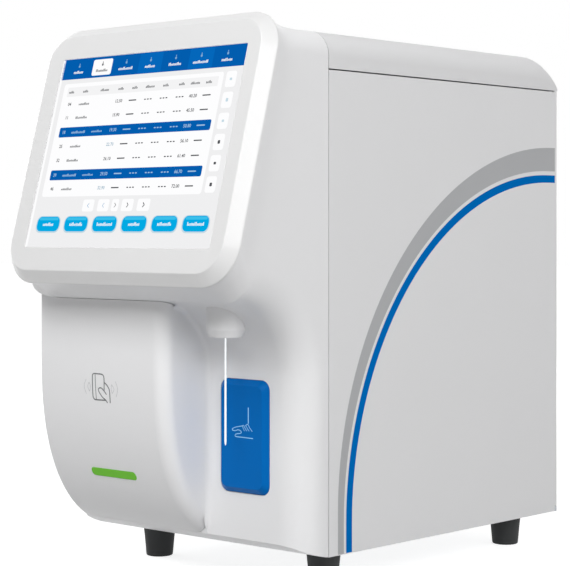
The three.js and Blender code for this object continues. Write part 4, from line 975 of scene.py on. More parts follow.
@dataclass
class FrontCasing:
    """The moulded front: column, hood, bulging cover and the nose over the needle."""

    case: CaseForm
    wall_x: float = 27.0
    edge: float = 14.0
    left_edge: float = 4.0
    cover_top: float = 262.0
    cover_steps: int = 26
    cove: float = 5.0
    cove_low: tuple[float, ...] = (13.8, 14.4, 15.2, 16.4, 18.0, 20.5, 24.0)
    cove_pitch: float = 3.0
    cove_sides: int = 6
    nose_radius: float = 17.8
    nose_low: float = 200.0
    nose_chamfer: float = 2.9
    nose_hole: float = 14.9
    nose_cut: Flat = (190.0, 245.0)
    mouth: float = 3.2
    needle: Flat = NEEDLE_AT
    key_centre: Flat = KEY_AT
    key_size: Flat = (61.7, 105.0)
    key_corner: float = 9.5
    key_cut: Flat = (-42.0, -30.0)
    window: Flat = (239.4, 180.9)
    window_at: Flat = GLASS_AT
    window_cut: Flat = (-5.0, 8.0)
    past: float = 5.0
    seam: float = 0.45
    nose_seam: float = 0.05
    rear_gap: float = 0.5

    def cover_solid(self, inset: float) -> bpy.types.Object:
        """Makes the bulging cover's outer or inner solid."""
        case = self.case
        low = -case.reach + case.wall + case.back_gap

        def ring(x: float, drop: float) -> Ring:
            """Gives one section of the cover."""
            wide, tall = case.belly_reach + case.heel - drop, case.rise - drop
            end = math.acos(((case.heel - low) / wide) ** (case.power / 2))
            points = [(low, self.cover_top), (case.heel - wide, self.cover_top)]
            for step in range(self.cover_steps + 1):
                angle = end * step / self.cover_steps
                points.append((case.heel - wide * math.cos(angle) ** (2 / case.power),
                               case.rise - tall * math.sin(angle) ** (2 / case.power)))
            return [(x, y, z) for y, z in points]

        left = [ring(step + inset - case.half, inset + case.drop(step, self.left_edge))
                for step in case.stations(self.left_edge, 6)]
        right = [ring(self.wall_x - inset - step, inset + case.drop(step, self.edge - inset))
                 for step in reversed(case.stations(self.edge - inset, 14))]
        return Shape().skin([*left, *right]).body("cover")

    def cove_strip(self) -> Shape:
        """Makes the small hollow round where the cover's wall meets the column."""
        case = self.case
        bend = case.underside - case.fillet
        heights, height = [*self.cove_low], self.cove_low[-1] + self.cove_pitch
        while height < bend:
            heights.append(height)
            height += self.cove_pitch
        spine = [(-case.reach, height, -1.0, 0.0) for height in heights]
        for step in range(15):
            angle = step / 18 * math.pi / 2
            spine.append((-case.reach - case.fillet + case.fillet * math.cos(angle),
                          bend + case.fillet * math.sin(angle), -math.cos(angle), -math.sin(angle)))
        rows = []
        for depth, height, out_y, out_z in spine:
            room = -case.reach - case.belly_front(height)
            radius = min(self.cove, max(room * 0.35, 0.2))
            row = []
            for step in range(self.cove_sides + 1):
                angle = step / self.cove_sides * math.pi / 2
                away = radius * (1 - math.sin(angle))
                across = self.wall_x + radius * (1 - math.cos(angle))
                row.append((across, depth + out_y * away, height + out_z * away))
            rows.append(row)
        return Shape().strip(rows)

    def build(self) -> None:
        """Builds and dresses the casing, the cover and the nose."""
        case = self.case
        opening = shifted(rounded(*self.window, 2), *self.window_at)
        key_outline = shifted(rounded(*self.key_size, self.key_corner), *self.key_centre)
        low, high = self.nose_cut
        tools = [
            case.casing(case.wall, self.past, 8),
            Shape().skin([tilted(case, opening, out) for out in self.window_cut]).body(),
            Shape().prism(key_outline, *self.key_cut).body(),
            Shape().turned([(self.nose_hole, low), (self.nose_hole, high)], self.needle).body(),
        ]
        shell = carved(case.casing(0.0, -self.rear_gap), tools)
        Dress("casing_looks", Finish.CASING, "casing_white", replaces=("front_casing",), bevel=0.9, segments=3,
              bevel_angle=58).put_on(shell)
        cover = carved(self.cover_solid(0.0), [self.cover_solid(case.wall), case.casing(-self.seam, self.past)])
        Dress("cover_looks", Finish.CASING, "casing_white", replaces=("belly_cover",)).put_on(cover)
        Dress("cover_root", Finish.CASING, "casing_white").put_on(self.cove_strip().body())
        self.nose()

    def nose(self) -> None:
        """Builds and dresses the nose: a cylinder with a chamfer below, hollow round the needle."""
        radius, low = self.nose_radius, self.nose_low
        edge = radius - self.nose_chamfer
        nose = Shape().turned([
            (radius - 0.6, self.cover_top), (radius, low + 7.2), (radius - 0.12, low + 6.7),
            (radius - 0.4, low + 6.1), (edge + 0.4, low + 0.9), (edge + 0.1, low + 0.4), (edge - 0.4, low),
        ], self.needle, sides=72).body()
        inner = Shape().turned([(12.6, low + 2.6), (15.2, low + 8.0), (15.2, low + 70.0)], self.needle).body()
        mouth = Shape().turned([(self.mouth, low - 10.0), (self.mouth, low + 10.0)], self.needle).body()
        carved(nose, [inner, mouth, self.case.casing(-self.nose_seam, self.past)])
        Dress("nose_looks", Finish.CASING, "casing_white", replaces=("probe_shroud",)).put_on(nose)


@dataclass
class DisplayHead:
    """The tilted bezel, its glass and the lit picture."""

    case: CaseForm
    thickness: float = 12.5
    edge: float = 10.2
    edge_round: float = 3.0
    face_round: float = 2.0
    low_corner: float = 39.0
    top_corner: float = 37.0
    skin: float = 3.0
    glass: Flat = (245.4, 186.8)
    glass_at: Flat = GLASS_AT
    glass_corner: float = 1.7
    glass_back: float = -7.6
    glass_face: float = -12.2
    gap: float = 0.6
    window_corner: float = 2.2

    def outline(self, inset: float) -> list[Flat]:
        """Gives the bezel's outline, a distance inside its outer one."""
        case = self.case
        width = case.width + 2 * case.overhang
        flat = rounded(width - 2 * inset, case.slope - 2 * inset, self.low_corner - inset,
                       self.top_corner - inset, 20)
        return shifted(flat, 0, case.slope / 2)

    def profile(self, steps: int = 6) -> list[Flat]:
        """Gives the bezel's edge: a flat chamfer, rounded where it meets the side and the face.

        Args:
            steps: The chords of each round.

        Returns:
            Pairs of how far behind the bezel's back, and how far inside its outline.
        """
        layers = [(0.0, 0.8), (-0.8, 0.0)]
        tangent = math.tan(math.pi / 8)
        start = self.edge - self.thickness + self.edge_round * tangent
        for step in range(steps + 1):
            angle = step / steps * math.pi / 4
            layers.append((start - self.edge_round * math.sin(angle), self.edge_round * (1 - math.cos(angle))))
        inner = self.edge + self.face_round * tangent
        for step in range(steps + 1):
            angle = (1 + step / steps) * math.pi / 4
            layers.append((self.face_round * (1 - math.sin(angle)) - self.thickness,
                           inner - self.face_round * math.cos(angle)))
        return layers

    def bezel(self) -> None:
        """Builds the bezel."""
        case = self.case
        face = Shape().skin([tilted(case, self.outline(inset), out) for out, inset in self.profile()]).body()
        wide, tall = self.glass
        window = shifted(rounded(wide + self.gap, tall + self.gap, self.window_corner), *self.glass_at)
        pocket = self.outline(self.edge)
        tools = [
            Shape().skin([tilted(case, window, -20.0), tilted(case, window, 0.0)]).body(),
            Shape().skin([tilted(case, pocket, self.skin - self.thickness), tilted(case, pocket, 5.0)]).body(),
        ]
        Dress("bezel_looks", Finish.BEZEL, "bezel_white", replaces=("display_bezel",),
              bevel=0.35).put_on(carved(face, tools))

    def build(self) -> None:
        """Builds and dresses the head."""
        self.bezel()
        case = self.case
        outline = shifted(rounded(*self.glass, self.glass_corner), *self.glass_at)
        pane = Shape().skin([tilted(case, outline, out) for out in (self.glass_back, self.glass_face)]).body()
        Dress("glass_looks", Finish.SCREEN_GROUND, "screen_glass", replaces=("touch_screen",),
              bevel=0.25).put_on(pane)
        Picture(case, self.glass_face).build()


@dataclass
class Picture:
    """The lit picture: plain bars, boxes and numbers, in flat layers just over the glass."""

    case: CaseForm
    level: float
    step: float = 0.03
    left: float = -129.0
    right: float = 118.0
    low: float = 33.2
    high: float = 221.2
    rows: tuple[float, ...] = (174.9, 161.3, 146.6, 132.5, 118.5, 103.8, 90.2)
    lit_rows: tuple[int, ...] = (2, 5)
    columns: tuple[float, ...] = (-60.0, -37.4, -18.4, 2.2, 23.0, 43.9, 61.2, 78.4)
    head_columns: Flat = (-107.4, -87.2)
    row_columns: Flat = (-106.8, -86.0)
    pale_rows: tuple[int, ...] = (3, 6)
    tab_first: float = -103.6
    tab_pitch: float = 33.2
    page_keys: tuple[Flat, ...] = ((-50.1, 15.4), (-29.4, 15.4), (-13.4, 9.4), (3.2, 15.4), (24.6, 16.4))
    page_up: float = 73.4
    button_first: float = -101.6
    button_pitch: float = 39.5
    side_across: float = 105.2
    side_first: float = 188.5
    side_pitch: float = 19.48
    tick_pitch: float = 1.5
    tick_width: float = 0.95
    ticks: tuple[float, ...] = (1.0, 0.66, 0.72, 0.6, 0.92, 0.7, 0.64)
    scale: float = 0.99354
    offset: Flat = (7.868, -0.187)
    pieces: dict[str, Shape] = field(default_factory=dict)

    def shape(self, name: str) -> Shape:
        """Gives the shape that collects one colour of one layer."""
        return self.pieces.setdefault(name, Shape())

    def laid(self, points: Sequence[Flat], layer: int) -> Ring:
        """Puts points of the layout on the glass, shrunk and moved to where the lit area is."""
        spots = [(across * self.scale + self.offset[0], up * self.scale + self.offset[1]) for across, up in points]
        return tilted(self.case, spots, self.level - layer * self.step)

    def box(self, name: str, layer: int, middle: Flat, size: Flat, corner: float = 0.4) -> None:
        """Adds a rounded box.

        Args:
            name: The colour that it is collected under.
            layer: How many steps it stands over the glass.
            middle: Its middle, across and up the slope.
            size: Its width and height.
            corner: The radius of its corners.
        """
        outline = shifted(rounded(*size, min(corner, min(size) / 2 - 0.01), steps=5), *middle)
        self.shape(name).polygon(self.laid(outline, layer))

    def line(self, name: str, layer: int, middle: Flat, width: float, tall: float = 2.3) -> None:
        """Adds a line of small plain ticks.

        Args:
            name: The colour that it is collected under.
            layer: How many steps it stands over the glass.
            middle: Its middle, across and up the slope.
            width: Its width.
            tall: The height of its tallest ticks.
        """
        count = max(round(width / self.tick_pitch), 2)
        for tick in range(count):
            share = self.ticks[(tick * 3 + count) % len(self.ticks)]
            across = middle[0] + (tick - (count - 1) / 2) * self.tick_pitch
            up = middle[1] + (share - 1) * tall / 2
            self.box(name, layer, (across, up), (self.tick_width, tall * share), 0.3)

    def number(self, name: str, layer: int, middle: Flat, text: str, size: float = 5.2) -> None:
        """Adds a plain number.

        Args:
            name: The colour that it is collected under.
            layer: How many steps it stands over the glass.
            middle: Its middle, across and up the slope.
            text: The digits.
            size: The height of its line.
        """
        curve = bpy.data.curves.new("number", "FONT")
        curve.body = text
        curve.size = size
        curve.offset = 0.02 * size
        curve.align_x = "CENTER"
        curve.align_y = "CENTER"
        curve.resolution_u = 2
        made = bpy.data.objects.new("number", curve)
        bpy.context.scene.collection.objects.link(made)
        data = evaluated(made)
        target = self.shape(name).mesh
        points = self.laid([(middle[0] + v.co.x, middle[1] + v.co.y) for v in data.vertices], layer)
        spots = [target.verts.new(placed(point)) for point in points]
        for face in data.polygons:
            target.faces.new([spots[index] for index in face.vertices])
        dropped(made)

    def title(self) -> None:
        """Draws the bar of tabs along the top."""
        middle, width = (self.left + self.right) / 2, self.right - self.left
        self.box("blue", 1, (middle + 0.8, 210.8), (width - 1.6, 20.8), 0.3)
        for tab in range(7):
            across = self.tab_first + self.tab_pitch * tab
            chosen = tab == 1
            if chosen:
                self.box("white", 2, (across, 210.6), (27.0, 16.0), 2.0)
            elif tab % 2:
                self.box("tab", 2, (across, 210.8), (31.0, 19.6), 1.0)
            self.line("ink" if chosen else "tab_mark", 3, (across, 207.4), 13.0 + 3.0 * (tab % 3), 3.0)
            ink = "ink" if chosen else "faint"
            self.box(ink, 3, (across, 213.2), (2.3, 2.4), 0.9)
            self.box(ink, 3, (across, 215.4), (1.0, 1.6), 0.4)

    def table(self) -> None:
        """Draws the table of results."""
        self.box("white", 1, (-12.1, 139.2), (214.9, 113.4), 3.0)
        self.box("band", 2, (-11.9, 187.4), (203.4, 9.4), 0.8)
        for spot, across in enumerate((*self.head_columns, *self.columns)):
            self.line("ink", 3, (across, 187.3), 11.6 if (spot * 5) % 3 == 1 else 8.0, 2.8)
        for row, up in enumerate(self.rows):
            lit = row in self.lit_rows
            ink = "lit_mark" if lit else "ink"
            if lit:
                self.box("blue", 2, (-11.2, up), (204.2, 10.0), 1.6)
            self.number(ink, 3, (self.row_columns[0], up), f"{(row * 7 + 4) % 90:02d}", 4.6)
            self.line(ink, 3, (self.row_columns[1], up - 0.2), 15.0 + 2.0 * (row % 3), 2.7)
            if lit:
                self.line(ink, 3, (self.columns[0], up - 0.2), 15.0)
            first = "pale" if row in self.pale_rows else ink
            self.number(first, 3, (self.columns[1], up), f"{12.5 + row * 3.4:.2f}", 4.5)
            for across in (self.columns[2], self.columns[7]):
                self.box(ink, 3, (across, up), (10.4, 1.2), 0.5)
            for across in self.columns[3:6]:
                for part in (-3.7, 0.1, 3.9):
                    self.box(ink, 3, (across + part, up), (2.5, 1.1), 0.4)
            self.number(ink, 3, (self.columns[6], up), f"{40.2 + row * 5.3:.2f}", 4.5)

    def buttons(self) -> None:
        """Draws the page keys, the row of round-ended keys and the column at the right."""
        for spot, (across, width) in enumerate(self.page_keys):
            self.box("white", 1, (across, self.page_up), (width, 11.6), 2.0)
            ink, way = ("faint", -1.0) if spot < 2 else ("ink", 1.0)
            for side in (-1, 1):
                ends = [(across - way, self.page_up + 2.2 * side), (across + 1.1 * way, self.page_up)]
                self.stroke(ink, 2, ends, 0.6 + 0.2 * max(spot - 2, 0))
        for key in range(6):
            across = self.button_first + self.button_pitch * key
            self.box("halo", 1, (across, 55.2), (34.4, 16.6), 6.4)
            self.box("cyan", 2, (across, 55.6), (32.0, 14.4), 5.6)
            self.box("cyan_light", 3, (across, 60.6), (27.0, 2.6), 1.2)
            self.line("tab_mark", 4, (across, 55.4), 14.5 + 3.0 * (key % 3), 3.4)
        for key in range(6):
            spot = (self.side_across, self.side_first - self.side_pitch * key)
            self.box("white", 1, spot, (12.8, 15.0), 2.6)
            self.box("ink" if key > 2 else "halo", 2, spot, (3.0, 2.4 + key % 2), 0.8)

    def stroke(self, name: str, layer: int, path: Sequence[Flat], width: float) -> None:
        """Adds a line of a given width."""
        for start, end in zip(path, path[1:]):
            along = Vector((end[0] - start[0], end[1] - start[1])).normalized()
            side = Vector((-along.y, along.x)) * width / 2
            corners = [(start[0] - side.x, start[1] - side.y), (end[0] - side.x, end[1] - side.y),
                       (end[0] + side.x, end[1] + side.y), (start[0] + side.x, start[1] + side.y)]
            self.shape(name).polygon(self.laid(corners, layer))

    def build(self) -> None:
        """Draws and dresses the picture, one piece for each colour."""
        middle = ((self.left + self.right) / 2, (self.low + self.high) / 2)
        self.box("white", 1, (self.left + 1.9, middle[1]), (3.2, self.high - self.low - 1.0), 0.4)
        self.title()
        self.table()
        self.buttons()
        finishes = {
            "blue": Finish.SCREEN_BLUE, "tab": Finish.SCREEN_TAB, "tab_mark": Finish.SCREEN_WHITE,
            "white": Finish.SCREEN_WHITE, "band": Finish.SCREEN_BAND, "ink": Finish.SCREEN_INK,
            "pale": Finish.SCREEN_PALE_INK, "faint": Finish.SCREEN_FAINT, "lit_mark": Finish.SCREEN_MIST,
            "cyan": Finish.SCREEN_CYAN, "cyan_light": Finish.SCREEN_SKY, "halo": Finish.SCREEN_HALO,
        }
        for name, shape in self.pieces.items():
            printed(shape, "picture_" + name, finishes[name])


@dataclass(frozen=True)
class Arc:
    """One printed edge on a side: upright at the front, a corner that is nearly elliptic, level at the rear.

    Its centre, radii and straight run are in millimetres. A power of 2 would make the corner a true ellipse.
    """

    centre: Flat
    radii: Flat
    power: float
    straight: float = 60.0

    def point(self, share: float) -> Flat:
        """Follows the edge: 0 is the corner's foot, 1 its top, and the straight ends lie beyond."""
        ends = (self.centre[0] - self.radii[0], self.centre[1] + self.radii[1])
        if share <= 0.0:
            return ends[0], self.centre[1] + share * self.straight
        if share >= 1.0:
            return self.centre[0] + (share - 1.0) * self.straight, ends[1]
        angle = share * math.pi / 2
        return (self.centre[0] - self.radii[0] * math.cos(angle) ** (2 / self.power),
                self.centre[1] + self.radii[1] * math.sin(angle) ** (2 / self.power))


@dataclass
class SideArcs:
    """The printed grey and blue arcs on both sides."""

    case: CaseForm
    grey: tuple[Arc, Arc] = (Arc((360.8, 39.5), (348.1, 343.9), 1.98), Arc((351.5, 30.9), (330.5, 327.9), 1.98))
    blue: tuple[Arc, Arc] = (Arc((350.6, 29.2), (326.3, 325.3), 1.99), Arc((353.4, 28.1), (320.8, 318.6), 2.0))
    reach: Flat = (-0.72, 1.4)
    proud: float = 0.04
    clear: float = 1.2
    door_clear: float = 5.2
    panel_clear: float = 0.8
    steps: int = 106

    def band(self, edges: tuple[Arc, Arc]) -> list[list[Flat]]:
        """Gives a band's cross lines between its two edges, a few points across each line."""
        rows = []
        for step in range(self.steps + 1):
            share = self.reach[0] + (self.reach[1] - self.reach[0]) * step / self.steps
            (first_y, first_z), (last_y, last_z) = (edge.point(share) for edge in edges)
            rows.append([(first_y + (last_y - first_y) * part / 3, first_z + (last_z - first_z) * part / 3)
                         for part in range(4)])
        return rows

    def print_on(self, name: str, side: float, body: str, rows: list[list[Flat]], finish: Coating) -> None:
        """Prints one band on one side.

        Args:
            name: The piece's name.
            side: 1 for the right side, -1 for the left.
            body: The body that the side belongs to.
            rows: The band's cross lines.
            finish: The ink.
        """
        level = self.case.half + self.proud
        piece = Shape().strip([[(side * level, y, z) for y, z in row] for row in rows]).body()
        low = (self.clear, self.clear)
        rear = BODY_DEPTH - (self.door_clear if side > 0 else self.panel_clear)
        high = (rear, self.case.lid_seam - self.clear)
        work = bmesh.new()
        work.from_mesh(piece.data)
        for corner, normal in ((low, (0, -1, 0)), (low, (0, 0, -1)), (high, (0, 1, 0)), (high, (0, 0, 1))):
            geometry = [*work.verts, *work.edges, *work.faces]
            bmesh.ops.bisect_plane(work, geom=geometry, plane_co=placed((0, *corner)), plane_no=normal,
                                   clear_outer=True)
        work.normal_update()
        for face in work.faces:
            if face.normal.x * side < 0:
                face.normal_flip()
        work.to_mesh(piece.data)
        work.free()
        piece.name = name
        piece.data.materials.append(finish.material())
        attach(piece, body)
        LOG.info("%s: %d faces", name, len(piece.data.polygons))

    def build(self) -> None:
        """Prints all four bands."""
        grey, blue = self.band(self.grey), self.band(self.blue)
        for label, side, body in (("right", 1.0, "door"), ("left", -1.0, CHASSIS)):
            self.print_on(f"arc_grey_{label}", side, body, grey, Finish.STRIPE_GREY)
            self.print_on(f"arc_blue_{label}", side, body, blue, Finish.STRIPE_BLUE)


@dataclass
class Housing:
    """The lid, the sides, the rear and the base."""

    case: CaseForm
    seam: float = 0.5
    lid_gap: float = 0.9
    past: float = 5.0
    rear_steps: int = 18
    ear_radius: float = 2.5
    ear_heights: Flat = (437.4, 447.0)
    ear_at: Flat = (142.5, 367.5)
    foot_profile: tuple[Flat, ...] = ((6.0, 1.5), (6.6, 0.2), (12.0, 0.0), (13.1, 0.5), (13.5, 1.6), (14.9, 17.0),
                                      (16.2, 29.0), (16.5, 31.2), (16.1, 32.0))

    def lid_solid(self, inset: float) -> bpy.types.Object:
        """Makes the lid's outer or inner solid."""
        case = self.case
        rise = case.height - case.lid_seam
        front = -self.past if inset else self.seam
        base = case.lid_seam + self.lid_gap
        low = base - self.past if inset else base

        def ring(x: float, distance: float) -> Ring:
            """Gives one section of the lid."""
            drop = inset + case.drop(distance - inset, case.top_edge - inset)
            points = [(front, low), (BODY_DEPTH - inset, low)]
            for step in range(self.rear_steps + 1):
                angle = step / self.rear_steps * math.pi / 2
                points.append((BODY_DEPTH - rise + (rise - inset) * math.cos(angle),
                               base + (case.height - drop - base) * math.sin(angle)))
            points.append((front, case.height - drop))
            return [(x, y, z) for y, z in points]

        steps = [step + inset for step in case.stations(case.top_edge - inset, 16)]
        left = [ring(step - case.half, step) for step in steps]
        right = [ring(case.half - step, step) for step in reversed(steps)]
        return Shape().skin([*left, *right]).body("lid")

    def build(self) -> None:
        """Builds and dresses the housing."""
        lid = carved(self.lid_solid(0.0), [self.lid_solid(self.case.wall)])
        ear = Shape().turned([(self.ear_radius, height) for height in self.ear_heights], self.ear_at, sides=32)
        carved(lid, [ear.body()], Operation.JOIN)
        Dress("lid_looks", Finish.LID, "casing_white", replaces=("top_cover",), bevel=0.6, segments=3,
              bevel_angle=58).put_on(lid)
        refined("left_panel", Finish.PANEL, "panel_grey", 0.8)
        refined("service_door", Finish.PANEL, "panel_grey", 0.8, "door")
        refined("rear_panel", Finish.REAR, "sheet_zinc", 0.3)
        refined("base_plate", Finish.ZINC, "sheet_zinc", 0.3)
        for node in ("door_pin_lower", "door_pin_upper"):
            refined(node, Finish.STEEL, "steel", 0.2)
        for place in ("front_left", "front_right", "rear_left", "rear_right"):
            self.foot("foot_" + place)

    def foot(self, node: str) -> None:
        """Builds one rubber foot: a taper with a lip and a hollow sole."""
        low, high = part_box(node)
        middle = ((low[0] + high[0]) / 2 / MM, ((low[1] + high[1]) / 2 - SEAM_Y) / MM)
        bottom = (low[2] - UNDERSIDE_Z) / MM
        steps = [(radius, bottom + up) for radius, up in self.foot_profile]
        foot = Shape().turned(steps, middle, sides=56).body()
        Dress(node + "_looks", Finish.RUBBER, "rubber_black", replaces=(node,), sharp=50).put_on(foot)


@dataclass
class AspirateKey:
    """The blue key with its printed hand and needle."""

    centre: Flat = KEY_AT
    size: Flat = (60.7, 104.0)
    corner: float = 9.0
    bevel: float = 5.0
    face: float = -41.0
    back: float = -31.0
    lip_size: Flat = (65.7, 109.0)
    lip_depths: Flat = (-32.7, -31.2)
    post_radius: float = 3.0
    post_depths: Flat = (-33.0, -31.0)

    def build(self) -> None:
        """Builds and dresses the key."""
        def layer(depth: float, inset: float) -> Ring:
            """Gives the key's outline at a depth."""
            width, height = (measure - 2 * inset for measure in self.size)
            outline = rounded(width, height, self.corner - inset / 2, steps=12)
            return [(x, depth, z) for x, z in shifted(outline, *self.centre)]

        layers = [layer(self.back, 0), layer(self.face + self.bevel, 0), layer(self.face, self.bevel)]
        lip = Shape().prism(shifted(rounded(*self.lip_size, self.corner), *self.centre), *self.lip_depths).body()
        post = Shape().turned([(self.post_radius, depth) for depth in self.post_depths], self.centre, Axis.Y, 24)
        piece = carved(Shape().skin(layers).body(), [lip], Operation.JOIN)
        carved(piece, [post.body()], Operation.JOIN)
        Dress("key_looks", Finish.KEY, "key_blue", "key", ("aspirate_key",), 0.7, 3, 25.0, 50.0).put_on(piece)
        self.pictogram()

    def pictogram(self) -> None:
        """Prints a hand under a needle."""
        finger = [(77.4, 118.7), (75.4, 117.9), (71.0, 117.1), (67.0, 116.1), (64.1, 114.9), (63.2, 113.9),
                  (64.5, 113.1), (67.4, 113.1), (69.9, 114.0), (72.1, 113.9), (74.3, 113.0), (74.7, 111.9),
                  (73.2, 110.9), (69.6, 110.4), (67.4, 109.6), (66.8, 108.4), (68.5, 107.7), (75.8, 107.6),
                  (83.0, 107.5), (89.3, 107.4)]
        knuckles = [[(75.9, 117.9), (77.2, 115.8), (78.7, 113.5)], [(77.4, 118.7), (79.4, 116.2), (81.4, 113.7)],
                    [(79.2, 118.0), (80.6, 118.6), (82.4, 115.8), (84.5, 113.9)],
                    [(80.8, 119.0), (82.2, 119.9), (83.4, 119.4), (85.5, 116.6), (88.5, 113.7)]]
        shape = Shape()
        ribbon(shape, [(83.5, 135.3), (83.5, 120.6)], 1.1, self.on_face)
        ribbon(shape, smooth_path(finger), 0.75, self.on_face)
        for knuckle in knuckles:
            ribbon(shape, smooth_path(knuckle), 0.6, self.on_face)
        printed(shape, "key_pictogram", Finish.INK_WHITE, "key")

    def on_face(self, across: float, up: float) -> Point:
        """Puts a point of the print on the key's face."""
        return (across, self.face - 0.05, up)


def ribbon(shape: Shape, path: Sequence[Flat], width: float, lay: Callable[[float, float], Point]) -> None:
    """Adds a line of even width on a surface.

    Args:
        shape: The shape that takes it.
        path: The points of its middle.
        width: Its width.
        lay: Puts a flat point on the surface.
    """
    rows = []
    for spot, here in enumerate(path):
        before, after = path[max(spot - 1, 0)], path[min(spot + 1, len(path) - 1)]
        along = Vector((after[0] - before[0], after[1] - before[1])).normalized()
        side = Vector((-along.y, along.x)) * width / 2
        rows.append([lay(here[0] - side.x, here[1] - side.y), lay(here[0] + side.x, here[1] + side.y)])
    shape.strip(rows)


def printed(shape: Shape, name: str, finish: Coating, body: str = CHASSIS) -> None:
    """Makes a print that faces the user."""
    shape.mesh.normal_update()
    for face in shape.mesh.faces:
        if face.normal.y > 0:
            face.normal_flip()
    data = bpy.data.meshes.new(name)
    shape.mesh.to_mesh(data)
    shape.mesh.free()
    piece = bpy.data.objects.new(name, data)
    bpy.context.scene.collection.objects.link(piece)
    data.materials.append(finish.material())
    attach(piece, body)
    LOG.info("%s: %d faces", name, len(data.polygons))


@dataclass
class CoverMarks:
    """What is on the bulging cover: the printed card and hand, and the lamp."""

    case: CaseForm
    lamp: Flat = (-57.0, 66.0)
    lamp_size: Flat = (62.0, 8.0)

    def on_cover(self, across: float, up: float) -> Point:
        """Puts a point of the print on the cover's front."""
        return (across, self.case.belly_front(up) - 0.06, up)

    def build(self) -> None:
        """Builds and dresses the marks."""
        shape = Shape()
        card = [(-52.5, 145.3), (-52.2, 153.4), (-52.4, 158.4), (-53.4, 160.4), (-55.6, 161.3), (-59.6, 161.5),
                (-65.9, 161.5), (-67.9, 160.7), (-68.6, 158.9), (-68.6, 151.3), (-68.5, 140.6), (-67.6, 138.1),
                (-65.2, 136.9), (-57.8, 136.9), (-51.1, 137.0)]
        ribbon(shape, smooth_path(card), 1.2, self.on_cover)
        ribbon(shape, smooth_path([(-64.6, 160.8), (-64.4, 148.5), (-63.9, 137.3)]), 0.8, self.on_cover)
        hand = [(-51.8, 153.6), (-48.9, 151.8), (-46.3, 149.0), (-45.1, 146.4), (-44.8, 141.3), (-44.8, 134.8)]
        ribbon(shape, smooth_path(hand), 1.2, self.on_cover)
        thumb = [(-49.4, 142.6), (-52.3, 145.4), (-55.1, 147.7), (-57.4, 148.5), (-59.8, 147.8), (-60.5, 146.0),
                 (-58.3, 142.8), (-54.7, 139.4), (-51.1, 137.4), (-48.5, 134.7)]
        ribbon(shape, smooth_path(thumb), 1.1, self.on_cover)
        printed(shape, "card_pictogram", Finish.INK_GREY)
        waves = Shape()
        for wave in (((-77.4, 155.9), (-80.4, 149.2), (-77.8, 141.6)),
                     ((-73.3, 153.0), (-75.4, 149.0), (-73.1, 144.2)),
                     ((-73.3, 153.0), (-71.6, 148.8), (-73.1, 144.2)),
                     ((-36.5, 155.5), (-33.7, 148.5), (-36.1, 140.9)),
                     ((-41.8, 152.4), (-38.7, 148.2), (-41.2, 144.0)),
                     ((-41.8, 152.4), (-42.6, 148.2), (-41.2, 144.0))):
            ribbon(waves, smooth_path(wave), 0.55, self.on_cover)
        printed(waves, "card_waves", Finish.INK_PALE)
        self.lens()

    def lens(self) -> None:
        """Builds the lamp's lens, a little proud of the cover."""
        rings = []
        for inset, proud in ((0.0, -3.4), (0.0, 0.35), (0.5, 0.6), (1.4, 0.7)):
            outline = rounded(self.lamp_size[0] - 2 * inset, self.lamp_size[1] - 2 * inset,
                              self.lamp_size[1] / 2 - inset - 0.05, steps=10)
            rings.append([(x, self.case.belly_front(z) - proud, z) for x, z in shifted(outline, *self.lamp)])
        lens = Shape().skin(rings).body()
        Dress("lamp_looks", Finish.LAMP, "light_green", replaces=("status_light",)).put_on(lens)


@dataclass
class Sampler:
    """The needle and what lifts it."""

    needle: Flat = NEEDLE_AT
    needle_profile: tuple[Flat, ...] = ((0.35, 102.0), (0.8, 103.0), (1.1, 105.5), (1.1, 304.8), (0.9, 305.0))

    def build(self) -> None:
        """Builds and dresses the sampler."""
        needle = Shape().turned(self.needle_profile, self.needle, sides=32).body()
        Dress("needle_looks", Finish.NEEDLE, "steel", "lift", ("sample_probe",), sharp=60).put_on(needle)
        refined("probe_carriage", Finish.BLACK, "plastic_black", 0.5, "lift")
        refined("lift_bracket", Finish.ZINC, "sheet_zinc", 0.3)
        refined("probe_rail", Finish.STEEL, "steel", 0.3)
        refined("drive_pulley", Finish.BRASS, "brass", 0.2, "drive_wheel")
        refined("idler_pulley", Finish.BRASS, "brass", 0.2, "idler_wheel")
        refined("drive_belt", Finish.RUBBER, "rubber_black", 0.2)
        refined("probe_motor", Finish.BLACK, "plastic_black", 0.8)
        refined("wash_block", Finish.NATURAL, "natural_plastic", 0.4)


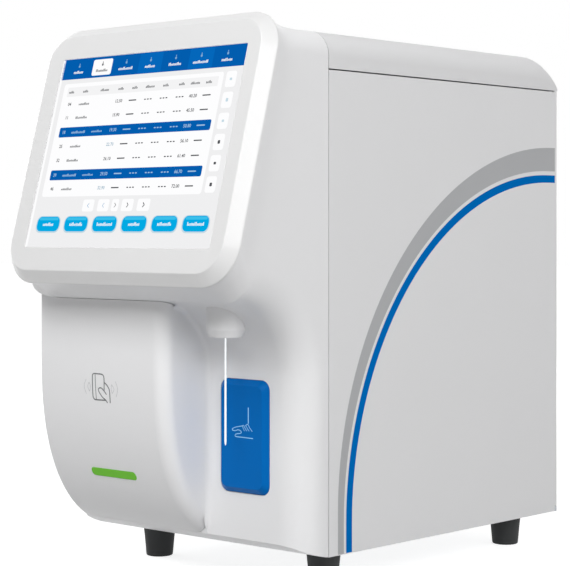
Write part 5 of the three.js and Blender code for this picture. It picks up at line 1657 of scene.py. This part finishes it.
@dataclass
class Inside:
    """Boards, frame and fluidics behind the door."""

    def build(self) -> None:
        """Builds and dresses the inner pieces."""
        zinc, board, clear = "sheet_zinc", "board_green", "clear_plastic"
        plain = {
            "lcd_module": (Finish.ZINC, zinc, 0.4), "display_board": (Finish.BOARD, board, 0.2),
            "key_switch_board": (Finish.BOARD, board, 0.2), "main_board": (Finish.BOARD, board, 0.2),
            "mid_divider": (Finish.ZINC, zinc, 0.3), "door_post": (Finish.ZINC, zinc, 0.3),
            "door_magnet": (Finish.DARK_GREY, "plastic_black", 0.6), "power_supply": (Finish.ZINC, zinc, 0.6),
            "bath_bracket": (Finish.ZINC, zinc, 0.3), "counting_bath_1": (Finish.CLEAR, clear, 0.4),
            "counting_bath_2": (Finish.CLEAR, clear, 0.4), "syringe_bracket": (Finish.ZINC, zinc, 0.3),
            "syringe_barrel": (Finish.CLEAR, clear, 0.3), "syringe_motor": (Finish.BLACK, "plastic_black", 0.8),
            "valve_manifold": (Finish.CLEAR, clear, 0.5), "waste_pump": (Finish.DARK_GREY, "plastic_black", 0.6),
        }
        for node, (finish, slot, bevel) in plain.items():
            refined(node, finish, slot, bevel)
        for valve in range(1, 4):
            refined(f"solenoid_valve_{valve}", Finish.DARK_GREY, "plastic_black", 0.5)
        refined("syringe_plunger", Finish.STEEL, "steel", 0.3, "syringe")
        refined("waste_rotor", Finish.NATURAL, "natural_plastic", 0.3, "waste_roller")


@dataclass
class Rear:
    """The fan, the sockets, the switch and the reagent ports."""

    fan: Flat = (-90.0, 150.0)
    guard_proud: float = 1.1
    guard_rings: tuple[float, ...] = (13.9, 26.0, 38.5)
    ring_wire: float = 0.8
    ring_steps: int = 72
    spoke_wire: float = 0.78
    spoke_reach: float = 44.0
    port_first: float = 34.0
    port_pitch: float = 26.0
    port_height: float = 64.0

    def guard(self) -> None:
        """Builds the fan's wire guard."""
        back, wire = BODY_DEPTH + self.guard_proud, self.ring_wire
        middle = Vector((self.fan[0], back, self.fan[1]))
        turns = [2 * math.pi * side / 10 for side in range(10)]
        shape = Shape()
        for radius in self.guard_rings:
            rings = []
            for step in range(self.ring_steps):
                angle = 2 * math.pi * step / self.ring_steps
                spoke = Vector((math.cos(angle), 0, math.sin(angle)))
                rings.append([tuple(middle + spoke * (radius + wire * math.cos(turn))
                                    + Vector((0, wire * math.sin(turn), 0))) for turn in turns])
            shape.skin(rings, looped=True)
        for turn in (math.pi / 4, math.pi * 3 / 4):
            way = Vector((math.cos(turn), 0, math.sin(turn))) * self.spoke_reach
            shape.tube([tuple(middle - way), tuple(middle + way)], self.spoke_wire, 10)
        hub = [(0.5, back - 0.8), (5.6, back - 0.8), (6.0, back - 0.4), (6.0, back + 0.4), (5.6, back + 0.8),
               (0.5, back + 0.8)]
        shape.turned(hub, self.fan, Axis.Y, 40)
        Dress("fan_guard_looks", Finish.STEEL, "steel", replaces=("fan_guard",), sharp=60).put_on(shape.body())

    def ports(self) -> None:
        """Builds the barbed reagent ports."""
        outside, inside = BODY_DEPTH + 0.3, BODY_DEPTH - 3.3
        for port in range(4):
            steps = [(1.9, inside - 17.0), (3.0, inside - 16.6), (3.0, inside - 5.0), (6.8, inside - 5.0),
                     (7.0, inside - 4.6), (7.0, inside - 0.2), (4.4, inside), (4.4, outside), (7.6, outside),
                     (8.0, outside + 0.4), (8.0, outside + 2.1), (7.6, outside + 2.5), (3.0, outside + 2.5),
                     (3.0, outside + 3.8), (3.9, outside + 4.0), (3.0, outside + 6.4), (3.9, outside + 6.6),
                     (2.9, outside + 9.4), (2.3, outside + 10.0), (1.5, outside + 9.6), (1.5, outside + 3.0)]
            centre = (self.port_first + port * self.port_pitch, self.port_height)
            shape = Shape().turned(steps, centre, Axis.Y, 40)
            node = f"reagent_port_{port + 1}"
            dress = Dress(node + "_looks", Finish.NATURAL, "natural_plastic", replaces=(node,), sharp=40)
            dress.put_on(shape.body())

    def build(self) -> None:
        """Builds and dresses the rear."""
        self.guard()
        self.ports()
        for node in ("data_sockets", "power_inlet", "switch_frame", "fan_frame"):
            refined(node, Finish.BLACK, "plastic_black", 0.4)
        refined("power_rocker", Finish.DARK_GREY, "plastic_black", 0.5, "rocker")
        refined("fan_rotor", Finish.BLACK, "plastic_black", 0.3, "fan")


@dataclass
class Fasteners:
    """The heads of the screws at the rear."""

    sides: Flat = (-134.0, 132.0)
    heights: tuple[float, ...] = (12.0, 120.0, 225.0, 330.0, 434.0)
    fan: Flat = Rear.fan
    fan_spread: float = 35.4
    upright: Point = (math.pi / 2, 0.0, 0.0)

    def build(self) -> None:
        """Builds and dresses the screws."""
        repeat = Repeat("screw_heads")
        spots = [(x, BODY_DEPTH + 0.5, z) for x in self.sides for z in self.heights]
        dress = Dress("rear_screws", Finish.STEEL, "steel", bevel=0.3)
        repeat.spread(spots, dress, 3.0, 1.4, 28, self.upright)
        guard = [(self.fan[0] + a * self.fan_spread, BODY_DEPTH + 2.2, self.fan[1] + b * self.fan_spread)
                 for a in (-1, 1) for b in (-1, 1)]
        dress = Dress("guard_screws", Finish.STEEL, "steel", bevel=0.3)
        repeat.spread(guard, dress, 2.6, 1.6, 28, self.upright)


@dataclass(frozen=True)
class Lamp:
    """A square lamp that faces the instrument.

    Its place is in degrees round from the front towards the right side, degrees up and metres away, its side in
    metres and its power in watts.
    """

    name: str
    around: float
    above: float
    away: float
    size: float
    power: float


@dataclass
class Studio:
    """The camera, the lamps and the floor."""

    position: Point = (1218.0, -1242.4, 298.6)
    azimuth: float = 42.2
    lens: float = 114.4
    sensor: float = 36.0
    shift: float = -0.0956
    far: float = 50.0
    aim: float = 0.27
    lamps: tuple[Lamp, ...] = (
        Lamp("front_lamp", 8.0, 40.0, 2.6, 1.3, 41.0),
        Lamp("side_lamp", 96.0, 16.0, 2.4, 1.6, 18.0),
        Lamp("corner_lamp", 56.0, 24.0, 2.6, 0.8, 15.0),
        Lamp("left_lamp", -90.0, 20.0, 2.6, 1.6, 28.0),
        Lamp("rear_lamp", 186.0, 18.0, 2.6, 1.8, 17.0),
    )
    room: float = 0.08
    floor_reach: float = 12.0
    floor_glow: float = 0.8
    floor_fade: float = 1500.0
    floor_tint: Tint = (192, 192, 192)
    floor_grain: Tint = (189, 189, 189)

    def camera(self) -> None:
        """Sets the camera at the photograph's place."""
        data = bpy.data.cameras.new("camera")
        data.lens = self.lens
        data.sensor_width = self.sensor
        data.shift_y = self.shift
        data.clip_end = self.far
        made = bpy.data.objects.new("camera", data)
        made.location = placed(self.position)
        made.rotation_euler = (math.pi / 2, 0.0, math.radians(self.azimuth))
        bpy.context.scene.collection.objects.link(made)
        bpy.context.scene.camera = made

    def hang(self, lamp: Lamp) -> None:
        """Hangs a lamp."""
        data = bpy.data.lights.new(lamp.name, "AREA")
        data.shape = "SQUARE"
        data.size = lamp.size
        data.energy = lamp.power
        turn, lift = math.radians(lamp.around), math.radians(lamp.above)
        arm = Vector((math.sin(turn) * math.cos(lift), -math.cos(turn) * math.cos(lift), math.sin(lift)))
        made = bpy.data.objects.new(lamp.name, data)
        made.location = Vector((0.0, 0.0, self.aim)) + arm * lamp.away
        made.rotation_euler = arm.to_track_quat("Z", "Y").to_euler()
        bpy.context.scene.collection.objects.link(made)

    def floor(self) -> None:
        """Lays the pale floor, which shows white and keeps the shadow near the instrument."""
        plate, reach = Shape(), self.floor_reach
        corners = [(-reach, -reach), (reach, -reach), (reach, reach), (-reach, reach)]
        plate.mesh.faces.new([plate.mesh.verts.new((x, y, 0.0)) for x, y in corners])
        floor = plate.body("floor")
        graph = Graph("floor_white")
        grain = graph.noise(30.0, 2.0)
        tone = graph.mix(grain, colour(*self.floor_tint), colour(*self.floor_grain))
        graph.surface(Base_Color=tone, Roughness=0.9, Specular_IOR_Level=0.1)
        path = graph.node("ShaderNodeLightPath")
        seen = Num(graph.tree, path.outputs["Is Camera Ray"]) + Num(graph.tree, path.outputs["Is Glossy Ray"])
        seen = seen + Num(graph.tree, path.outputs["Is Transmission Ray"])
        across, along, _ = graph.place()
        away = ((across * across + along * along) * (1 / self.floor_fade ** 2)).capped(1.0)
        glow = seen.capped(1.0) * (away * (1 - self.floor_glow) + self.floor_glow)
        shown = graph.mix(glow, colour(0, 0, 0), colour(255, 255, 255))
        graph.surface(Emission_Color=shown, Emission_Strength=1.0)
        floor.data.materials.append(graph.material)

    def world(self) -> None:
        """Lights the room evenly and shows it white."""
        world = bpy.data.worlds.new("room")
        bpy.context.scene.world = world
        world.use_nodes = True
        nodes, links = world.node_tree.nodes, world.node_tree.links
        background = nodes["Background"]
        path = nodes.new("ShaderNodeLightPath")
        strength = nodes.new("ShaderNodeMapRange")
        strength.inputs["To Min"].default_value = self.room
        strength.inputs["To Max"].default_value = 1.0
        seen = path.outputs["Is Camera Ray"]
        for ray in ("Is Glossy Ray", "Is Transmission Ray"):
            either = nodes.new("ShaderNodeMath")
            either.operation = "MAXIMUM"
            links.new(seen, either.inputs[0])
            links.new(path.outputs[ray], either.inputs[1])
            seen = either.outputs[0]
        links.new(seen, strength.inputs["Value"])
        links.new(strength.outputs["Result"], background.inputs["Strength"])
        background.inputs["Color"].default_value = (1.0, 1.0, 1.0, 1.0)

    def build(self) -> None:
        """Builds the studio."""
        bpy.context.scene.view_settings.view_transform = "Standard"
        self.camera()
        self.world()
        for lamp in self.lamps:
            self.hang(lamp)
        self.floor()


def main() -> None:
    """Builds the instrument and its studio."""
    logging.basicConfig(level=logging.INFO, format="%(name)s %(message)s")
    Studio().build()
    case = CaseForm()
    for assembly in (FrontCasing(case), DisplayHead(case), Housing(case), SideArcs(case), AspirateKey(),
                     CoverMarks(case), Sampler(), Rear(), Inside(), Fasteners()):
        assembly.build()
        LOG.info("%s is built", type(assembly).__name__)


if __name__ == "__main__":
    main()
